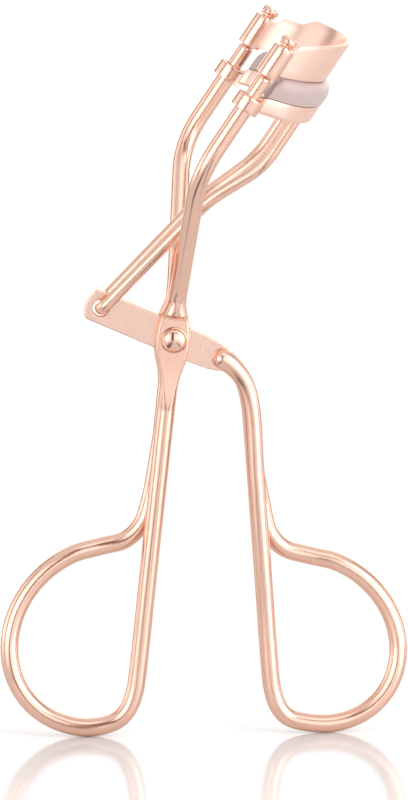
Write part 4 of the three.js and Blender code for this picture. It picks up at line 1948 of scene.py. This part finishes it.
# ------------------------------------------------------------------ studio
@dataclass
class Studio:
    """The floor, the lights and the camera.

    Attributes:
        distance: the camera's distance from its target.
        azimuth: how far round the camera stands, in degrees.
        elevation: how far up it stands, in degrees.
        target: what it looks at.
        view_height: how much of the target's height it sees.
        floor_half: half of the floor's width.
        floor_tone: the floor's paleness.
        shade_depth: how much darker the metal sees the ovals of painted shade in the floor's colour.
        flags: the dark flags, as turn, distance, width, lower and upper edge.
        flag_tone: their cloth's colour.
        shades: the ovals of painted shade, as centre and half sizes across and along.
        boxes: the soft boxes, as name, place, size and power in watts.
        surround: the surround's strength at the horizon.
        surround_fall: how much of it is lost towards the ceiling.
        surround_run: how fast it is lost.
        exposure: the view's exposure.
    """

    distance: float = 1800.0
    azimuth: float = -4.7
    elevation: float = 10.0
    target: tuple[float, float, float] = (0.0, 0.0, 48.8)
    view_height: float = 115.1
    floor_half: float = 4000.0
    floor_tone: float = 0.72
    shade_depth: float = 0.62
    flags: tuple[tuple[float, float, float, float, float], ...] = (
        (0.0, 3150.0, 700.0, 0.0, 3400.0),
        (0.0, 560.0, 1300.0, 470.0, 560.0),
        (84.0, 640.0, 90.0, 0.0, 700.0),
        (-66.0, 640.0, 110.0, 0.0, 700.0),
        (128.0, 640.0, 200.0, 0.0, 700.0),
        (-132.0, 640.0, 200.0, 0.0, 700.0),
    )
    shades: tuple[tuple[float, float, float, float], ...] = (
        (-48.0, -136.0, 28.0, 124.0),
        (47.0, -160.0, 11.0, 146.0),
    )
    flag_tone: Colour = (0.16, 0.07, 0.04)
    boxes: tuple[tuple[str, Colour, Pair, float], ...] = (
        ("left_box", (-380.0, -420.0, 160.0), (300.0, 600.0), 0.35),
        ("right_box", (430.0, -330.0, 180.0), (380.0, 600.0), 1.6),
        ("top_box", (120.0, -300.0, 620.0), (460.0, 300.0), 0.2),
    )
    surround: float = 1.42
    surround_fall: float = 0.72
    surround_run: float = 1.5
    exposure: float = 0.38

    def camera(self) -> None:
        """Makes the camera: low, from the front and a little to the left."""
        data = bpy.data.cameras.new("camera")
        camera = linked("camera", data)
        a, e = math.radians(self.azimuth), math.radians(self.elevation)
        back = Vector((math.sin(a) * math.cos(e), -math.cos(a) * math.cos(e), math.sin(e)))
        camera.location = (Vector(self.target) + back * self.distance) * MM
        camera.rotation_euler = (-back).to_track_quat("-Z", "Y").to_euler()
        data.sensor_width = 36.0
        data.lens = 36.0 * self.distance / self.view_height
        data.clip_start = 0.01
        data.clip_end = 10.0
        bpy.context.scene.camera = camera

    def shade(self, book: Book, where: Value) -> Value:
        """Painted shade: soft dark ovals painted into the floor's colour beside the part, which only the
        metal mirrors.

        Args:
            book: the floor material's nodes.
            where: the place on the floor, in metres.

        Returns:
            How dark it is, from 0 to 1.
        """
        across = book.add("ShaderNodeSeparateXYZ", {}, {0: where}, 0)
        along = book.add("ShaderNodeSeparateXYZ", {}, {0: where}, 1)
        softness = 2.5
        total: Value | float = 0.0
        for x, y, half_x, half_y in self.shades:
            away_x = (across - x * MM) * (1 / (half_x * MM))
            away_y = (along - y * MM) * (1 / (half_y * MM))
            inside = softness - softness * (away_x * away_x + away_y * away_y)
            total = total + book.clamped(inside, 1.0)
        return total

    def floor(self) -> None:
        """Makes the pale floor, with painted shade: dark ovals in its colour that only glossy rays see, as
        painted dark reflections in the metal.
        """
        half = self.floor_half
        corners = [(-half, -half, 0), (half, -half, 0), (half, half, 0), (-half, half, 0)]
        made = make_object("floor", corners, [(0, 1, 2, 3)])
        material, book = new_material("pale_floor")
        where = book.place()
        cloud = book.noise(where, 9.0)
        mirrored = book.add("ShaderNodeLightPath", {}, {}, "Is Glossy Ray")
        # painted shade: dark ovals taken off the floor's colour for glossy rays only, so the metal mirrors
        # dark patches that the camera never sees on the floor
        pale = self.floor_tone - self.shade_depth * mirrored * self.shade(book, where)
        book.surface(Base_Color=pale, Roughness=0.09 + 0.05 * cloud, IOR=1.4)
        made.data.materials.append(material)

    def cloth(self) -> bpy.types.Material:
        """Makes the flags' dark cloth.

        Returns:
            The material.
        """
        material, book = new_material("dark_cloth")
        weave = book.noise(book.place(), 60.0)
        book.surface(Base_Color=(*self.flag_tone, 1.0), Roughness=0.8 + 0.1 * weave)
        return material

    def flag(self, name: str, turn: float, distance: float, width: float, low: float, high: float) -> None:
        """Makes a dark flag that draws a thin line down the wires.

        Args:
            name: its name.
            turn: where it stands, in degrees round from the camera.
            distance: how far from the part it stands.
            width: its width.
            low: the height of its lower edge.
            high: the height of its upper edge.
        """
        a = math.radians(self.azimuth + turn)
        back = Vector((math.sin(a), -math.cos(a), 0))
        side = Vector((math.cos(a), math.sin(a), 0))
        centre, up = back * distance, Vector((0, 0, 1))
        left, right = centre - side * width / 2, centre + side * width / 2
        corners = [left + up * low, right + up * low, right + up * high, left + up * high]
        made = make_object(name, corners, [(0, 1, 2, 3)])
        made.data.materials.append(self.cloth())
        made.visible_camera = False

    def light(self, name: str, place: Sequence[float], size: tuple[float, float], power: float) -> None:
        """Makes one soft box that faces the object.

        Args:
            name: its name.
            place: its centre in millimetres.
            size: its width and height in millimetres.
            power: its power in watts.
        """
        data = bpy.data.lights.new(name, "AREA")
        data.shape = "RECTANGLE"
        data.size, data.size_y = size[0] * MM, size[1] * MM
        data.energy = power
        made = linked(name, data)
        made.location = Vector(place) * MM
        aim = Vector(self.target) - Vector(place)
        made.rotation_euler = aim.to_track_quat("-Z", "Y").to_euler()

    def world(self) -> None:
        """Makes a white surround that dims towards the ceiling."""
        made = bpy.data.worlds.new("surround")
        bpy.context.scene.world = made
        made.use_nodes = True
        book = Book(made.node_tree)
        height = book.add("ShaderNodeSeparateXYZ", {}, {0: book.place("Generated")}, 2)
        strength = self.surround - self.surround_fall * book.clamped(height, self.surround_run)
        white = {"Color": (1.0, 1.0, 1.0, 1.0), "Strength": strength}
        shader = book.add("ShaderNodeBackground", {}, white)
        book.node("ShaderNodeOutputWorld", {}, {"Surface": shader})

    def build(self) -> None:
        """Makes the whole studio."""
        self.camera()
        self.floor()
        self.world()
        for number, flag in enumerate(self.flags):
            self.flag(f"dark_flag_{number}", *flag)
        for name, place, size, power in self.boxes:
            self.light(name, place, size, power)
        view = bpy.context.scene.view_settings
        view.view_transform = "Standard"
        view.exposure = self.exposure


def main() -> None:
    """Builds the studio and the curler's pieces in order."""
    logging.basicConfig(level=logging.INFO, format="%(name)s: %(message)s")
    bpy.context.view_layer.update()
    layout = Layout.read()
    finishes = FinishBox()
    tree = PressedWireTree()
    Studio().build()
    plan = JawPlan(layout.post_y)
    lever = Lever(layout)
    upper = UpperJaw(layout, plan)
    lower = LowerJaw(layout, plan)
    pieces = [FrameWire(layout).build(tree, finishes), *lever.build(tree, finishes)]
    link = Link(layout, lever, lower)
    channel, *ears = lower.build(finishes)
    link.bore(channel)
    pieces += [upper.build(finishes), channel, *ears, Pad(lower, upper).build(finishes)]
    pieces += link.build(tree, finishes)
    pieces += [PivotRivet(layout).build(finishes)]
    pieces += [PostCap(layout).build(end, finishes) for end in ("front", "rear")]
    for piece in pieces:
        log.info("%s: %d faces", piece.name, len(piece.data.polygons))


if __name__ == "__main__":
    main()
